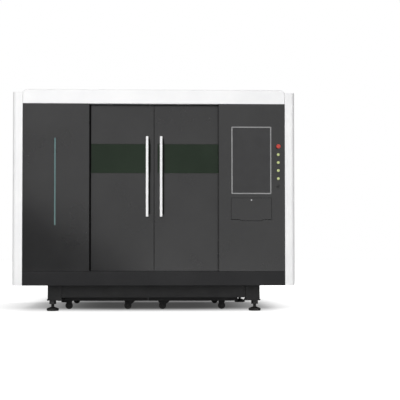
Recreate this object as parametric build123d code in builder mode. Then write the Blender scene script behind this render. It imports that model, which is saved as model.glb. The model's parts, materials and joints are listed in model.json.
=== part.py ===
from build123d import *

# Enclosed fiber laser cutting machine: sliding doors, console, gantry over a slat table, slag carts below.
# X runs to the right as seen from the doors, Y to the rear, Z up, all in millimetres.

# Enclosure
shell_width = 2812
shell_depth = 1968
shell_bottom = 262
post_top = 2188
sill_top = 402
sheet = 2
fold = 25
seam = 1.5
bend_radius = 3
overrun = 5

# Corner posts
post_width = 98
post_depth = 170
rear_post_depth = 120
post_proud = 10
post_wall = 3
post_corner_radius = 40
post_groove_inset = 28
post_groove_width = 4
post_groove_depth = 2

# Header, top bands and roof
header_rise = 30
header_height = 141
header_wall = 3
header_lip = 50
header_shoulder_radius = 45
header_edge_radius = 10
band_flange = 60
roof_fold = 30
roof_rib_count = 6
roof_rib_width = 40
roof_rib_height = 6
roof_rib_taper = 45
side_inset = 10

# Base ring and sill
ring_height = 40
ring_width = 80
ring_wall = 4
sill_wall = 3
sill_lip = 50

# Doors
console_width = 663
door_recess = 90
door_thickness = 36
door_overlap = 35
jamb_gap = 4
door_gap = 4
door_head_lap = 23
door_sheet = 2.5
door_lift = 10
meeting_lap = 20
meeting_hold = 30
meeting_strip = 3
meeting_clearance = 1
guide_height = 48
guide_wall = 4
guide_clearance = 1
track_beam = 60
track_wall = 4
door_rail_width = 28
door_rail_height = 22
hanger_width = 60
hanger_length = 110
hanger_inset = 90
slide_clearance = 0.25

# Windows and handles
window_bottom = 1385
window_top = 1684
window_inner_edge = 33
window_hidden = 10
window_lap = 12
window_thickness = 6
handle_x = 70
handle_bottom = 948
handle_length = 806
handle_width = 26
handle_depth = 24
handle_corner = 8
handle_end_chamfer = 3
handle_standoff = 46
standoff_diameter = 18
standoff_inset = 90

# Light strip
led_inset = 322
led_bottom = 863
led_length = 870
led_width = 12
led_flange = 8
led_depth = 14
led_proud = 1
panel_clearance = 0.5

# Monitor
monitor_inset = 336
monitor_drop = 228
bezel_width = 400
bezel_height = 675
bezel_line = 11
bezel_proud = 4
bezel_corner = 9
monitor_depth = 48
monitor_back_chamfer = 18
glass_setback = 2

# Buttons
button_inset = 67
estop_drop = 427
button_drop = 81
button_pitch = 80
button_count = 4
collar_diameter = 34
collar_proud = 6
collar_floor = 1.5
barrel_diameter = 22
barrel_length = 50
barrel_floor = 8
cap_diameter = 28
cap_proud = 11
cap_thickness = 6
cap_edge = 1.5
cap_clearance = 0.3
stem_diameter = 10
stem_length = 34
stem_clearance = 0.08
estop_diameter = 45
estop_proud = 32
estop_head = 18
estop_edge = 7
estop_crown = 2.5
key_diameter = 16
key_proud = 11
key_slot_width = 3
key_slot_length = 11
key_slot_depth = 5

# Keyboard flap
flap_width = 406
flap_drop = 39
flap_depth = 20
flap_gap = 1.2
flap_heel = 8
flap_heel_gap = 4
hinge_drop = 223
knuckle_radius = 6
knuckle_length = 225
hinge_pin_radius = 3
hinge_pin_reach = 22
hinge_ear = 5
lock_drop = 21
lock_head_diameter = 15
lock_proud = 4
lock_barrel_diameter = 12
lock_length = 17
lock_tongue_width = 8
lock_tongue_reach = 14
lock_tongue_thickness = 2
lock_slot_width = 2
lock_slot_depth = 2

# Rear services
spigot_diameter = 200
spigot_wall = 3
spigot_length = 60
spigot_flange_diameter = 260
spigot_flange = 4
spigot_z = 410
inlet_inset = 308
inlet_z = 520
inlet_bore = 80
inlet_collar = 100
inlet_proud = 14

# Bed
bed_setback = 150
bed_rear_gap = 70
leg_inset = 406
leg_size = 140
leg_wall = 8
leg_bottom = 106
leg_plate = 12
leg_plate_lip = 8
beam_bottom = 660
beam_top = 880
lower_beam_bottom = 136
lower_beam_height = 150
cross_depth = 80
cross_setback = 12
cross_wall = 6
tie_bottom = 680
tie_height = 140
bearer_height = 80
bearer_width = 60

# Levelling feet
foot_pad_diameter = 122
foot_pad_height = 24
foot_cone_height = 18
foot_neck_diameter = 30
foot_nut_width = 60
foot_nut_height = 38
foot_pad_edge = 4
foot_offset = 25

# Slat table
table_side_gap = 180
table_front_gap = 190
table_length = 1080
table_frame_wall = 10
table_frame_height = 80
slat_tip = 850
slat_height = 60
slat_tooth_height = 20
slat_tooth_count = 12
slat_thickness = 3
slat_slot_clearance = 0.5
slat_count = 19
slat_edge_margin = 45

# Gantry
rail_width = 28
rail_height = 24
rail_offset = 25
rail_end_gap = 40
magnet_width = 40
magnet_height = 12
magnet_offset = 35
magnet_gap = 1
block_width = 70
block_length = 110
block_roof = 18
saddle_length = 320
saddle_thickness = 30
gantry_depth = 180
gantry_height = 200
gantry_wall = 8
gantry_park_gap = 250
gantry_window_count = 7
gantry_window_length = 160
gantry_window_height = 70

# Carriage and cutting head
x_rail_spread = 140
x_rail_margin = 90
x_magnet_height = 60
carriage_width = 240
carriage_height = 230
carriage_plate = 18
housing_width = 120
housing_depth = 62
housing_height = 430
housing_edge = 6
z_rail_width = 40
z_rail_height = 16
motor_size = 60
motor_height = 110
head_bracket_width = 90
head_bracket_height = 150
head_bracket_depth = 52
head_bracket_rise = 170
head_diameter = 92
head_body_height = 210
collimator_diameter = 70
collimator_height = 120
connector_diameter = 42
connector_height = 60
head_waist_diameter = 64
head_waist_height = 70
head_edge = 4
nozzle_seat_diameter = 34
nozzle_height = 32
nozzle_tip_diameter = 7
nozzle_bore = 3
nozzle_clear = 140

# Slag carts
cart_end_margin = 458
cart_gap = 8
cart_pair_offset = -62
cart_leg_gap = 40
cart_bottom = 92
cart_top = 240
cart_sheet = 3
cart_rim = 25
hand_slot_z = 165
hand_slot_length = 150
hand_slot_height = 40
wheel_diameter = 75
wheel_width = 30
wheel_edge = 4
wheel_hub_diameter = 34
wheel_hub_recess = 3
axle_diameter = 12
axle_clearance = 0.08
fork_wall = 4
fork_gap = 1
fork_width = 70
fork_plate = 4
castor_trail = 35
swivel_race_diameter = 56
swivel_race_height = 7
swivel_stem_diameter = 16
swivel_stem_height = 11
castor_line_inset = 160
fixed_castor_left_inset = 132
fixed_castor_right_inset = 182
swivel_castor_left_inset = 169
swivel_castor_right_inset = 184

# Places worked out from the sizes above
half_width = shell_width / 2
post_inner = half_width - post_width
opening_half = post_inner - console_width
led_x = led_inset - post_inner
monitor_x = post_inner - monitor_inset
button_x = post_inner - button_inset
inlet_x = post_inner - inlet_inset
leg_x = half_width - leg_inset
header_top = post_top + header_rise
header_bottom = header_top - header_height
estop_z = header_bottom - estop_drop
button_top_z = estop_z - button_drop
monitor_bottom = header_bottom - monitor_drop - bezel_height
flap_top = monitor_bottom - flap_drop
hinge_z = flap_top - hinge_drop
lock_z = flap_top - lock_drop
door_top = header_bottom + door_head_lap
total_depth = estop_proud + shell_depth + spigot_length
front_y = estop_proud - total_depth / 2
rear_y = front_y + shell_depth
post_back_y = front_y - post_proud + post_depth
rear_post_front_y = rear_y - rear_post_depth
bed_front_y = front_y + bed_setback
bed_rear_y = rear_y - bed_rear_gap
ring_top = shell_bottom + ring_height
door_front_y = front_y + door_recess
door_back_y = door_front_y + door_thickness
door_middle_y = (door_front_y + door_back_y) / 2
door_bottom = ring_top + guide_wall + door_lift
door_outer_edge = opening_half + door_overlap
track_bottom = header_top - header_wall - track_beam
leg_inner_x = leg_x - leg_size / 2
leg_outer_x = leg_x + leg_size / 2
table_half = leg_inner_x - table_side_gap
table_front_y = bed_front_y + table_front_gap
table_rear_y = table_front_y + table_length
slat_bottom = slat_tip - slat_height
table_frame_top = slat_bottom + slat_height / 2
table_frame_bottom = table_frame_top - table_frame_height
rail_x = leg_x + rail_offset
magnet_x = leg_x - magnet_offset
saddle_bottom = beam_top + rail_height + block_roof
gantry_bottom = saddle_bottom + saddle_thickness
gantry_middle_z = gantry_bottom + gantry_height / 2
gantry_back_y = bed_rear_y - gantry_park_gap
gantry_front_y = gantry_back_y - gantry_depth
gantry_middle_y = (gantry_front_y + gantry_back_y) / 2
carriage_back_y = gantry_front_y - rail_height - block_roof
carriage_front_y = carriage_back_y - carriage_plate
carriage_bottom = gantry_middle_z - carriage_height / 2
housing_front_y = carriage_front_y - housing_depth
housing_bottom = carriage_bottom
housing_top = housing_bottom + housing_height
nozzle_tip_z = slat_tip + nozzle_clear
nozzle_top_z = nozzle_tip_z + nozzle_height
head_bracket_bottom = nozzle_top_z + head_bracket_rise
head_axis_y = housing_front_y - z_rail_height - head_bracket_depth
cart_length = half_width - cart_end_margin
cart_front_y = bed_front_y + leg_size + cart_leg_gap
cart_rear_y = bed_rear_y - leg_size - cart_leg_gap
cart_middle_y = (cart_front_y + cart_rear_y) / 2
castor_lines = (cart_front_y + castor_line_inset, cart_rear_y - castor_line_inset)
wheel_radius = wheel_diameter / 2

# The guide rail's section, as shares of its width and height: base, waist and head
rail_waist_share = 0.7
rail_base_share = 0.3
rail_waist_top_share = 0.55
block_skirt_share = 0.2


def save(builder, name):
    """Labels a finished piece and writes it."""
    builder.part.label = name
    export_step(builder.part, f"parts/{name}.step")


def bar(x0, x1, y0, y1, z0, z1, wall=0, along=Axis.X):
    """Straight bar between two corners, or an open tube along an axis where a wall is given."""
    with BuildPart() as piece:
        with Locations(((x0 + x1) / 2, (y0 + y1) / 2, (z0 + z1) / 2)):
            Box(x1 - x0, y1 - y0, z1 - z0)
            if wall:
                bore = [x1 - x0 - 2 * wall, y1 - y0 - 2 * wall, z1 - z0 - 2 * wall]
                longways = (Axis.X, Axis.Y, Axis.Z).index(along)
                bore[longways] += 2 * wall
                Box(*bore, mode=Mode.SUBTRACT)
    return piece.part


def folded_panel(plane, width, height, depth, wall=sheet):
    """Sheet with all four edges folded back; the plane lies on its front face, facing out."""
    with BuildPart() as piece:
        with BuildSketch(plane):
            Rectangle(width, height)
        extrude(amount=-depth)
        bends = piece.faces().sort_by(Axis(plane.origin, plane.z_dir))[-1].edges()
        fillet(bends, bend_radius)
        with BuildSketch(plane.offset(-wall)):
            Rectangle(width - 2 * wall, height - 2 * wall)
        extrude(amount=wall - depth, mode=Mode.SUBTRACT)
    return piece.part


def rail_points(width, height):
    """Half of a guide rail's section from its base to the middle of its head."""
    waist = width * rail_waist_share
    return [
        (width / 2, 0),
        (width / 2, height * rail_base_share),
        (waist / 2, height * rail_base_share),
        (waist / 2, height * rail_waist_top_share),
        (width / 2, height * rail_waist_top_share),
        (width / 2, height),
        (0, height),
    ]


def rail_section(plane, width, height, clearance=0):
    """Guide rail section on a plane whose Y points away from the rail's seat."""
    with BuildSketch(plane) as section:
        with BuildLine():
            Polyline((0, 0), *rail_points(width, height))
            Line((0, height), (0, 0))
        make_face()
        mirror(about=Plane.YZ)
        if clearance:
            offset(amount=clearance, kind=Kind.INTERSECTION)
    return section.sketch


def rail(plane, width, height, length):
    """Guide rail with its seat's middle on the plane's origin."""
    section = rail_section(plane, width, height)
    with BuildPart() as piece:
        extrude(section, amount=length / 2, both=True)
    return piece.part


def bearing_block(plane, width, height, block, length, roof):
    """Bearing block that runs round a guide rail laid on the same plane."""
    skirt = height * block_skirt_share
    slot = rail_section(plane, width, height, slide_clearance)
    with BuildPart() as piece:
        with BuildSketch(plane):
            with Locations((0, (skirt + height + roof) / 2)):
                Rectangle(block, height + roof - skirt)
        extrude(amount=length / 2, both=True)
        extrude(slot, amount=length / 2 + overrun, both=True, mode=Mode.SUBTRACT)
    return piece.part


# Bed: legs with foot plates, side beams, cross beams
bed_middle_y = (bed_front_y + bed_rear_y) / 2
leg_span_y = bed_rear_y - bed_front_y - leg_size
with BuildPart() as bed_legs:
    with BuildSketch(Plane((0, bed_middle_y, leg_bottom))):
        with GridLocations(2 * leg_x, leg_span_y, 2, 2):
            RectangleRounded(leg_size + 2 * leg_plate_lip, leg_size, leg_plate_lip)
    extrude(amount=leg_plate)
    with BuildSketch(Plane((0, bed_middle_y, leg_bottom + leg_plate))):
        with GridLocations(2 * leg_x, leg_span_y, 2, 2):
            Rectangle(leg_size, leg_size)
            Rectangle(leg_size - 2 * leg_wall, leg_size - 2 * leg_wall, mode=Mode.SUBTRACT)
    extrude(amount=beam_bottom - leg_bottom - leg_plate)
save(bed_legs, "bed_legs")

side_beams = [
    bar(side * leg_x - leg_size / 2, side * leg_x + leg_size / 2, bed_front_y, bed_rear_y,
        beam_bottom, beam_top, leg_wall, Axis.Y)
    for side in (-1, 1)
]
with BuildPart() as bed_side_beams:
    add(side_beams)
save(bed_side_beams, "bed_side_beams")

cross_front_y = bed_front_y + cross_setback
cross_rear_y = bed_rear_y - cross_setback - cross_depth
cross_spans = [
    (cross_front_y, cross_depth, lower_beam_bottom, lower_beam_height),
    (cross_rear_y, cross_depth, lower_beam_bottom, lower_beam_height),
    (cross_front_y, cross_depth, tie_bottom, tie_height),
    (cross_rear_y, cross_depth, tie_bottom, tie_height),
    (table_front_y, bearer_width, table_frame_bottom - bearer_height, bearer_height),
    (table_rear_y - bearer_width, bearer_width, table_frame_bottom - bearer_height, bearer_height),
]
cross_bars = [
    bar(-leg_inner_x, leg_inner_x, y, y + depth, z, z + height, cross_wall, Axis.X)
    for y, depth, z, height in cross_spans
]
with BuildPart() as bed_cross_beams:
    add(cross_bars)
save(bed_cross_beams, "bed_cross_beams")

# Levelling feet: pad, cone, neck and lock nut under the outer half of each leg
with BuildPart() as foot:
    with BuildSketch(Plane.XZ):
        with BuildLine():
            Polyline(
                (0, 0),
                (foot_pad_diameter / 2 - foot_pad_edge, 0),
                (foot_pad_diameter / 2, foot_pad_edge),
                (foot_pad_diameter / 2, foot_pad_height),
                (foot_neck_diameter / 2, foot_pad_height + foot_cone_height),
                (foot_neck_diameter / 2, leg_bottom),
                (0, leg_bottom),
                close=True,
            )
        make_face()
    revolve(axis=Axis.Z)
    with BuildSketch(Plane.XY.offset(leg_bottom)):
        RegularPolygon(foot_nut_width / 2, 6, major_radius=False)
    extrude(amount=-foot_nut_height)
with BuildPart() as levelling_feet:
    with Locations((0, bed_middle_y, 0)):
        with GridLocations(2 * (leg_x + foot_offset), leg_span_y, 2, 2):
            add(foot.part)
save(levelling_feet, "levelling_feet")

# Slat table: slotted frame on two bearers, toothed slats standing in its slots
slat_pitch = 2 * (table_half - slat_edge_margin) / (slat_count - 1)
with BuildPart() as slat_frame:
    with BuildSketch(Plane((0, (table_front_y + table_rear_y) / 2, table_frame_bottom))):
        Rectangle(2 * table_half, table_length)
        Rectangle(
            2 * (table_half - table_frame_wall), table_length - 2 * table_frame_wall, mode=Mode.SUBTRACT
        )
    extrude(amount=table_frame_height)
    with BuildSketch(Plane((0, (table_front_y + table_rear_y) / 2, slat_bottom))):
        with GridLocations(slat_pitch, 0, slat_count, 1):
            Rectangle(slat_thickness + 2 * slat_slot_clearance, table_length + 2 * overrun)
    extrude(amount=table_frame_top - slat_bottom + overrun, mode=Mode.SUBTRACT)
save(slat_frame, "slat_frame")

tooth_pitch = table_length / slat_tooth_count
tooth_root = slat_tip - slat_tooth_height
with BuildPart() as slat:
    with BuildSketch(Plane.YZ):
        with BuildLine():
            Polyline(
                (table_front_y, tooth_root),
                (table_front_y, slat_bottom),
                (table_rear_y, slat_bottom),
                (table_rear_y, tooth_root),
            )
            for tooth in range(slat_tooth_count):
                start_y = table_front_y + tooth * tooth_pitch
                Polyline(
                    (start_y, tooth_root),
                    (start_y + tooth_pitch / 2, slat_tip),
                    (start_y + tooth_pitch, tooth_root),
                )
        make_face()
    extrude(amount=slat_thickness / 2, both=True)
with BuildPart() as support_slats:
    with GridLocations(slat_pitch, 0, slat_count, 1):
        add(slat.part)
save(support_slats, "support_slats")

# Y guides on the side beams
rail_length = bed_rear_y - bed_front_y - 2 * rail_end_gap
y_rail_planes = [
    Plane((side * rail_x, bed_middle_y, beam_top), x_dir=(1, 0, 0), z_dir=(0, -1, 0)) for side in (-1, 1)
]
y_rail_bars = [rail(plane, rail_width, rail_height, rail_length) for plane in y_rail_planes]
with BuildPart() as y_guides:
    add(y_rail_bars)
    with BuildSketch(Plane((0, bed_middle_y, beam_top))):
        with GridLocations(2 * magnet_x, 0, 2, 1):
            Rectangle(magnet_width, rail_length)
    extrude(amount=magnet_height)
save(y_guides, "y_guides")

# Base ring: tubes between the corner posts, with outriggers from the bed's legs
ring_outer_x = half_width - side_inset - fold
ring_front_y = bed_front_y - ring_width
outrigger_y = (bed_front_y + leg_size / 2, bed_rear_y - leg_size / 2)
ring_bars = [
    bar(-post_inner, post_inner, ring_front_y, bed_front_y, shell_bottom, ring_top, ring_wall, Axis.X),
    bar(-post_inner, post_inner, bed_rear_y, rear_y - fold, shell_bottom, ring_top, ring_wall, Axis.X),
]
for side in (-1, 1):
    inner, outer = sorted((side * (ring_outer_x - ring_width), side * ring_outer_x))
    ring_bars.append(
        bar(inner, outer, post_back_y, rear_post_front_y, shell_bottom, ring_top, ring_wall, Axis.Y)
    )
    near, far = sorted((side * leg_outer_x, side * (ring_outer_x - ring_width)))
    for y in outrigger_y:
        ring_bars.append(
            bar(near, far, y - ring_width / 2, y + ring_width / 2, shell_bottom, ring_top, ring_wall, Axis.X)
        )
with BuildPart() as base_ring:
    add(ring_bars)
save(base_ring, "base_ring")

# Corner posts: closed columns with one large rounded corner
post_corner = half_width, front_y - post_proud
with BuildPart() as front_post:
    with BuildSketch(Plane.XY.offset(shell_bottom)) as post_plan:
        with Locations((half_width - post_width / 2, post_corner[1] + post_depth / 2)):
            Rectangle(post_width, post_depth)
        fillet(post_plan.vertices().group_by(Axis.X)[-1].sort_by(Axis.Y)[0], post_corner_radius)
        with Locations((post_inner + post_groove_inset, post_corner[1])):
            Rectangle(post_groove_width, 2 * post_groove_depth, mode=Mode.SUBTRACT)
    extrude(amount=post_top - shell_bottom)
    with BuildSketch(Plane.XY.offset(shell_bottom)) as post_bore:
        with Locations((half_width - post_width / 2, post_corner[1] + post_depth / 2)):
            Rectangle(post_width - 2 * post_wall, post_depth - 2 * post_wall)
        corner = post_bore.vertices().group_by(Axis.X)[-1].sort_by(Axis.Y)[0]
        fillet(corner, post_corner_radius - post_wall)
        with Locations((post_inner + post_groove_inset, post_corner[1] + post_wall)):
            Rectangle(post_groove_width + 2 * post_wall, 2 * post_groove_depth, mode=Mode.SUBTRACT)
    extrude(amount=post_top - shell_bottom - post_wall, mode=Mode.SUBTRACT)
with BuildPart() as front_posts:
    add(front_post.part)
    mirror(about=Plane.YZ)
save(front_posts, "front_posts")

with BuildPart() as rear_post:
    with BuildSketch(Plane.XY.offset(shell_bottom)) as post_plan:
        with Locations((half_width - post_width / 2, rear_y - rear_post_depth / 2)):
            Rectangle(post_width, rear_post_depth)
        fillet(post_plan.vertices().group_by(Axis.X)[-1].sort_by(Axis.Y)[-1], post_corner_radius)
    extrude(amount=post_top - shell_bottom)
    with BuildSketch(Plane.XY.offset(shell_bottom)) as post_bore:
        with Locations((half_width - post_width / 2, rear_y - rear_post_depth / 2)):
            Rectangle(post_width - 2 * post_wall, rear_post_depth - 2 * post_wall)
        corner = post_bore.vertices().group_by(Axis.X)[-1].sort_by(Axis.Y)[-1]
        fillet(corner, post_corner_radius - post_wall)
    extrude(amount=post_top - shell_bottom - post_wall, mode=Mode.SUBTRACT)
with BuildPart() as rear_posts:
    add(rear_post.part)
    mirror(about=Plane.YZ)
save(rear_posts, "rear_posts")

# Header: folded cover, open below, with rounded shoulders and a lip over the fixed panels
header_depth = post_back_y - front_y
header_middle_y = front_y + header_depth / 2


def header_form(inset):
    """Header's outer form, drawn in by an inset on every side but the lower one."""
    with BuildPart() as piece:
        with Locations((0, header_middle_y, header_bottom)):
            Box(
                2 * (post_inner - inset), header_depth - 2 * inset, header_height - inset,
                align=(Align.CENTER, Align.CENTER, Align.MIN),
            )
        shoulders = piece.edges().filter_by(Axis.Y).group_by(Axis.Z)[-1]
        fillet(shoulders, header_shoulder_radius - inset)
        front_edge = piece.edges().group_by(Axis.Z)[-1].filter_by(Axis.X).sort_by(Axis.Y)[0]
        fillet(front_edge, header_edge_radius - inset)
    return piece.part


header_outside = header_form(0)
header_inside = header_form(header_wall)
with BuildPart() as header:
    add(header_outside)
    add(header_inside, mode=Mode.SUBTRACT)
    with BuildSketch(Plane.XY.offset(header_bottom)):
        with Locations((0, front_y + header_lip / 2)):
            Rectangle(2 * post_inner, header_lip)
    extrude(amount=header_wall)
save(header, "header")

# Top bands: folded channels between the posts on both sides and at the rear
band_middle_y = (post_back_y + rear_post_front_y) / 2
band_length = rear_post_front_y - post_back_y


def band(plane, length, flange):
    """Channel whose web lies on the plane's Y axis, with flanges to the plane's left."""
    with BuildPart() as piece:
        with BuildSketch(plane):
            Rectangle(flange, post_top - header_bottom, align=(Align.MAX, Align.MIN))
            with Locations((-header_wall, header_wall)):
                Rectangle(
                    flange, post_top - header_bottom - 2 * header_wall,
                    align=(Align.MAX, Align.MIN), mode=Mode.SUBTRACT,
                )
        extrude(amount=length / 2, both=True)
    return piece.part


band_bars = [
    band(
        Plane((side * half_width, band_middle_y, header_bottom), x_dir=(side, 0, 0), z_dir=(0, -side, 0)),
        band_length, band_flange,
    )
    for side in (-1, 1)
]
rear_band = band(
    Plane((0, rear_y, header_bottom), x_dir=(0, 1, 0), z_dir=(1, 0, 0)), 2 * post_inner, rear_post_depth
)
with BuildPart() as top_bands:
    add(band_bars)
    add(rear_band)
save(top_bands, "top_bands")

# Roof: folded sheet with pressed ribs, let in between the header and the bands
roof_half = half_width - band_flange
roof_rear_y = rear_post_front_y
roof_middle_y = (post_back_y + roof_rear_y) / 2
roof_length = roof_rear_y - post_back_y
roof_skin = folded_panel(
    Plane((0, roof_middle_y, post_top)), 2 * roof_half, roof_length, roof_fold, header_wall
)
with BuildPart() as roof_panel:
    add(roof_skin)
    with BuildSketch(Plane((0, roof_middle_y, post_top))):
        with GridLocations(2 * roof_half / roof_rib_count, 0, roof_rib_count, 1):
            SlotOverall(roof_length - 2 * band_flange, roof_rib_width, rotation=90)
    extrude(amount=roof_rib_height, taper=roof_rib_taper)
save(roof_panel, "roof_panel")

# Side panels: two folded sheets on each side
side_height = header_bottom - shell_bottom
side_length = (band_length - 3 * seam) / 2
side_sheets = []
for side in (-1, 1):
    for end in (-1, 1):
        place = (
            side * (half_width - side_inset),
            band_middle_y + end * (side_length + seam) / 2,
            shell_bottom + side_height / 2,
        )
        facing = Plane(place, x_dir=(0, side, 0), z_dir=(side, 0, 0))
        side_sheets.append(folded_panel(facing, side_length, side_height, fold))
with BuildPart() as side_panels:
    add(side_sheets)
save(side_panels, "side_panels")

# Rear panels: three folded sheets, the middle one holed for extraction, the right one collared for cables
rear_panel_count = 3
rear_width = (2 * post_inner - (rear_panel_count - 1) * seam) / rear_panel_count
rear_pitch = rear_width + seam
rear_middle_z = shell_bottom + side_height / 2
rear_sheets = [
    folded_panel(
        Plane((place * rear_pitch, rear_y, rear_middle_z), x_dir=(-1, 0, 0), z_dir=(0, 1, 0)),
        rear_width, side_height, fold,
    )
    for place in (-1, 0, 1)
]
rear_face = Plane((0, rear_y, 0), x_dir=(-1, 0, 0), z_dir=(0, 1, 0))
with BuildPart() as rear_panels:
    add(rear_sheets)
    with BuildSketch(rear_face.offset(inlet_proud)):
        with Locations((-inlet_x, inlet_z)):
            Circle(inlet_collar / 2)
    extrude(amount=-inlet_proud - sheet)
    with BuildSketch(rear_face.offset(inlet_proud)):
        with Locations((-inlet_x, inlet_z)):
            Circle(inlet_bore / 2)
        with Locations((0, spigot_z)):
            Circle(spigot_diameter / 2 - spigot_wall)
    extrude(amount=-inlet_proud - fold, mode=Mode.SUBTRACT)
save(rear_panels, "rear_panels")

with BuildPart() as extraction_spigot:
    with BuildSketch(rear_face):
        with Locations((0, spigot_z)):
            Circle(spigot_flange_diameter / 2)
    extrude(amount=spigot_flange)
    with BuildSketch(rear_face):
        with Locations((0, spigot_z)):
            Circle(spigot_diameter / 2)
    extrude(amount=spigot_length)
    with BuildSketch(rear_face):
        with Locations((0, spigot_z)):
            Circle(spigot_diameter / 2 - spigot_wall)
    extrude(amount=spigot_length, mode=Mode.SUBTRACT)
save(extraction_spigot, "extraction_spigot")

# Fixed front panels, each with a jamb that closes the side of the door opening
panel_height = header_bottom - sill_top
panel_middle_x = (post_inner + opening_half) / 2
panel_middle_z = (header_bottom + sill_top) / 2
front_face = Plane((0, front_y, 0), x_dir=(1, 0, 0), z_dir=(0, -1, 0))
left_sheet = folded_panel(
    Plane((-panel_middle_x, front_y, panel_middle_z), x_dir=(1, 0, 0), z_dir=(0, -1, 0)),
    console_width, panel_height, fold,
)
right_sheet = folded_panel(
    Plane((panel_middle_x, front_y, panel_middle_z), x_dir=(1, 0, 0), z_dir=(0, -1, 0)),
    console_width, panel_height, fold,
)
jamb_back_y = door_front_y - jamb_gap
left_jamb = bar(
    -opening_half - sheet, -opening_half, front_y + fold, jamb_back_y, sill_top, header_bottom
)
right_jamb = bar(
    opening_half, opening_half + sheet, front_y + fold, jamb_back_y, sill_top, header_bottom
)
led_middle_z = led_bottom + led_length / 2
with BuildPart() as front_panel_left:
    add(left_sheet)
    add(left_jamb)
    with BuildSketch(front_face):
        with Locations((led_x, led_middle_z)):
            SlotOverall(led_length + 2 * panel_clearance, led_width + 2 * panel_clearance, rotation=90)
    extrude(amount=-sheet, mode=Mode.SUBTRACT)
save(front_panel_left, "front_panel_left")

with BuildPart() as led_strip:
    with BuildSketch(front_face.offset(led_proud)):
        with Locations((led_x, led_middle_z)):
            SlotOverall(led_length, led_width, rotation=90)
    extrude(amount=-led_proud - led_depth)
    with BuildSketch(front_face.offset(-sheet)):
        with Locations((led_x, led_middle_z)):
            SlotOverall(led_length + 2 * led_flange, led_width + 2 * led_flange, rotation=90)
    extrude(amount=sheet - led_depth)
save(led_strip, "led_strip")

# Console panel with its cut-outs and the flap's hinge ears and pins
monitor_middle_z = monitor_bottom + bezel_height / 2
glass_width = bezel_width - 2 * bezel_line
glass_height = bezel_height - 2 * bezel_line
control_heights = [estop_z] + [button_top_z - place * button_pitch for place in range(button_count + 1)]
control_places = [(button_x, height) for height in control_heights]
hinge_y = front_y + knuckle_radius
flap_bottom = hinge_z + flap_heel
flap_height = flap_top - flap_bottom
ear_height = knuckle_radius + hinge_pin_radius
ear_plane = Plane((monitor_x, 0, 0), x_dir=(0, 1, 0), z_dir=(1, 0, 0))
knuckle_end = knuckle_length / 2 + flap_gap
with BuildPart() as console_panel:
    add(right_sheet)
    add(right_jamb)
    with BuildSketch(front_face):
        with Locations((monitor_x, monitor_middle_z)):
            Rectangle(glass_width, glass_height)
        with Locations(control_places):
            Circle(barrel_diameter / 2 + panel_clearance)
        with Locations((monitor_x, flap_bottom - flap_heel_gap)):
            Rectangle(
                flap_width + 2 * flap_gap, flap_height + flap_heel_gap + flap_gap,
                align=(Align.CENTER, Align.MIN),
            )
        with Locations((monitor_x, hinge_z - knuckle_radius - flap_gap)):
            Rectangle(2 * knuckle_end, flap_heel + knuckle_radius + flap_gap, align=(Align.CENTER, Align.MIN))
    extrude(amount=-sheet, mode=Mode.SUBTRACT)
    for side in (-1, 1):
        with BuildSketch(ear_plane.offset(side * (knuckle_end + hinge_ear / 2))):
            with Locations((front_y + sheet, hinge_z - ear_height)):
                Rectangle(
                    2 * knuckle_radius, ear_height + flap_heel - flap_heel_gap, align=(Align.MIN, Align.MIN)
                )
        extrude(amount=hinge_ear / 2, both=True)
        with BuildSketch(ear_plane.offset(side * (knuckle_end + hinge_ear / 2))):
            with Locations((hinge_y, hinge_z)):
                Circle(hinge_pin_radius)
        extrude(amount=-side * hinge_pin_reach)
save(console_panel, "console_panel")

with BuildPart() as monitor_bezel:
    with BuildSketch(front_face):
        with Locations((monitor_x, monitor_middle_z)):
            RectangleRounded(bezel_width, bezel_height, bezel_corner)
            Rectangle(glass_width, glass_height, mode=Mode.SUBTRACT)
    extrude(amount=bezel_proud)
    chamfer(monitor_bezel.faces().sort_by(Axis.Y)[0].outer_wire().edges(), bezel_proud / 2)
save(monitor_bezel, "monitor_bezel")

with BuildPart() as touch_monitor:
    with BuildSketch(front_face.offset(bezel_proud - glass_setback)):
        with Locations((monitor_x, monitor_middle_z)):
            Rectangle(glass_width - 2 * panel_clearance, glass_height - 2 * panel_clearance)
    extrude(amount=-sheet - bezel_proud)
    with BuildSketch(front_face.offset(-sheet)):
        with Locations((monitor_x, monitor_middle_z)):
            Rectangle(bezel_width, bezel_height)
    extrude(amount=sheet - monitor_depth)
    chamfer(touch_monitor.faces().sort_by(Axis.Y)[-1].edges(), monitor_back_chamfer)
save(touch_monitor, "touch_monitor")

# Push buttons, emergency stop and key switch in their collars
control_stems = [stem_diameter] * (button_count + 1) + [key_diameter]
with BuildPart() as button_collars:
    with BuildSketch(front_face):
        with Locations(control_places):
            Circle(collar_diameter / 2)
    extrude(amount=collar_proud)
    with BuildSketch(front_face):
        with Locations(control_places):
            Circle(barrel_diameter / 2)
    extrude(amount=-barrel_length)
    with BuildSketch(front_face.offset(collar_proud)):
        with Locations(control_places[:-1]):
            Circle(cap_diameter / 2 + cap_clearance)
    extrude(amount=collar_floor - collar_proud, mode=Mode.SUBTRACT)
    with BuildSketch(front_face.offset(collar_proud)):
        for place, stem in zip(control_places, control_stems):
            with Locations(place):
                Circle(stem / 2 + stem_clearance)
    extrude(amount=barrel_floor - collar_proud - barrel_length, mode=Mode.SUBTRACT)
save(button_collars, "button_collars")

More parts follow.
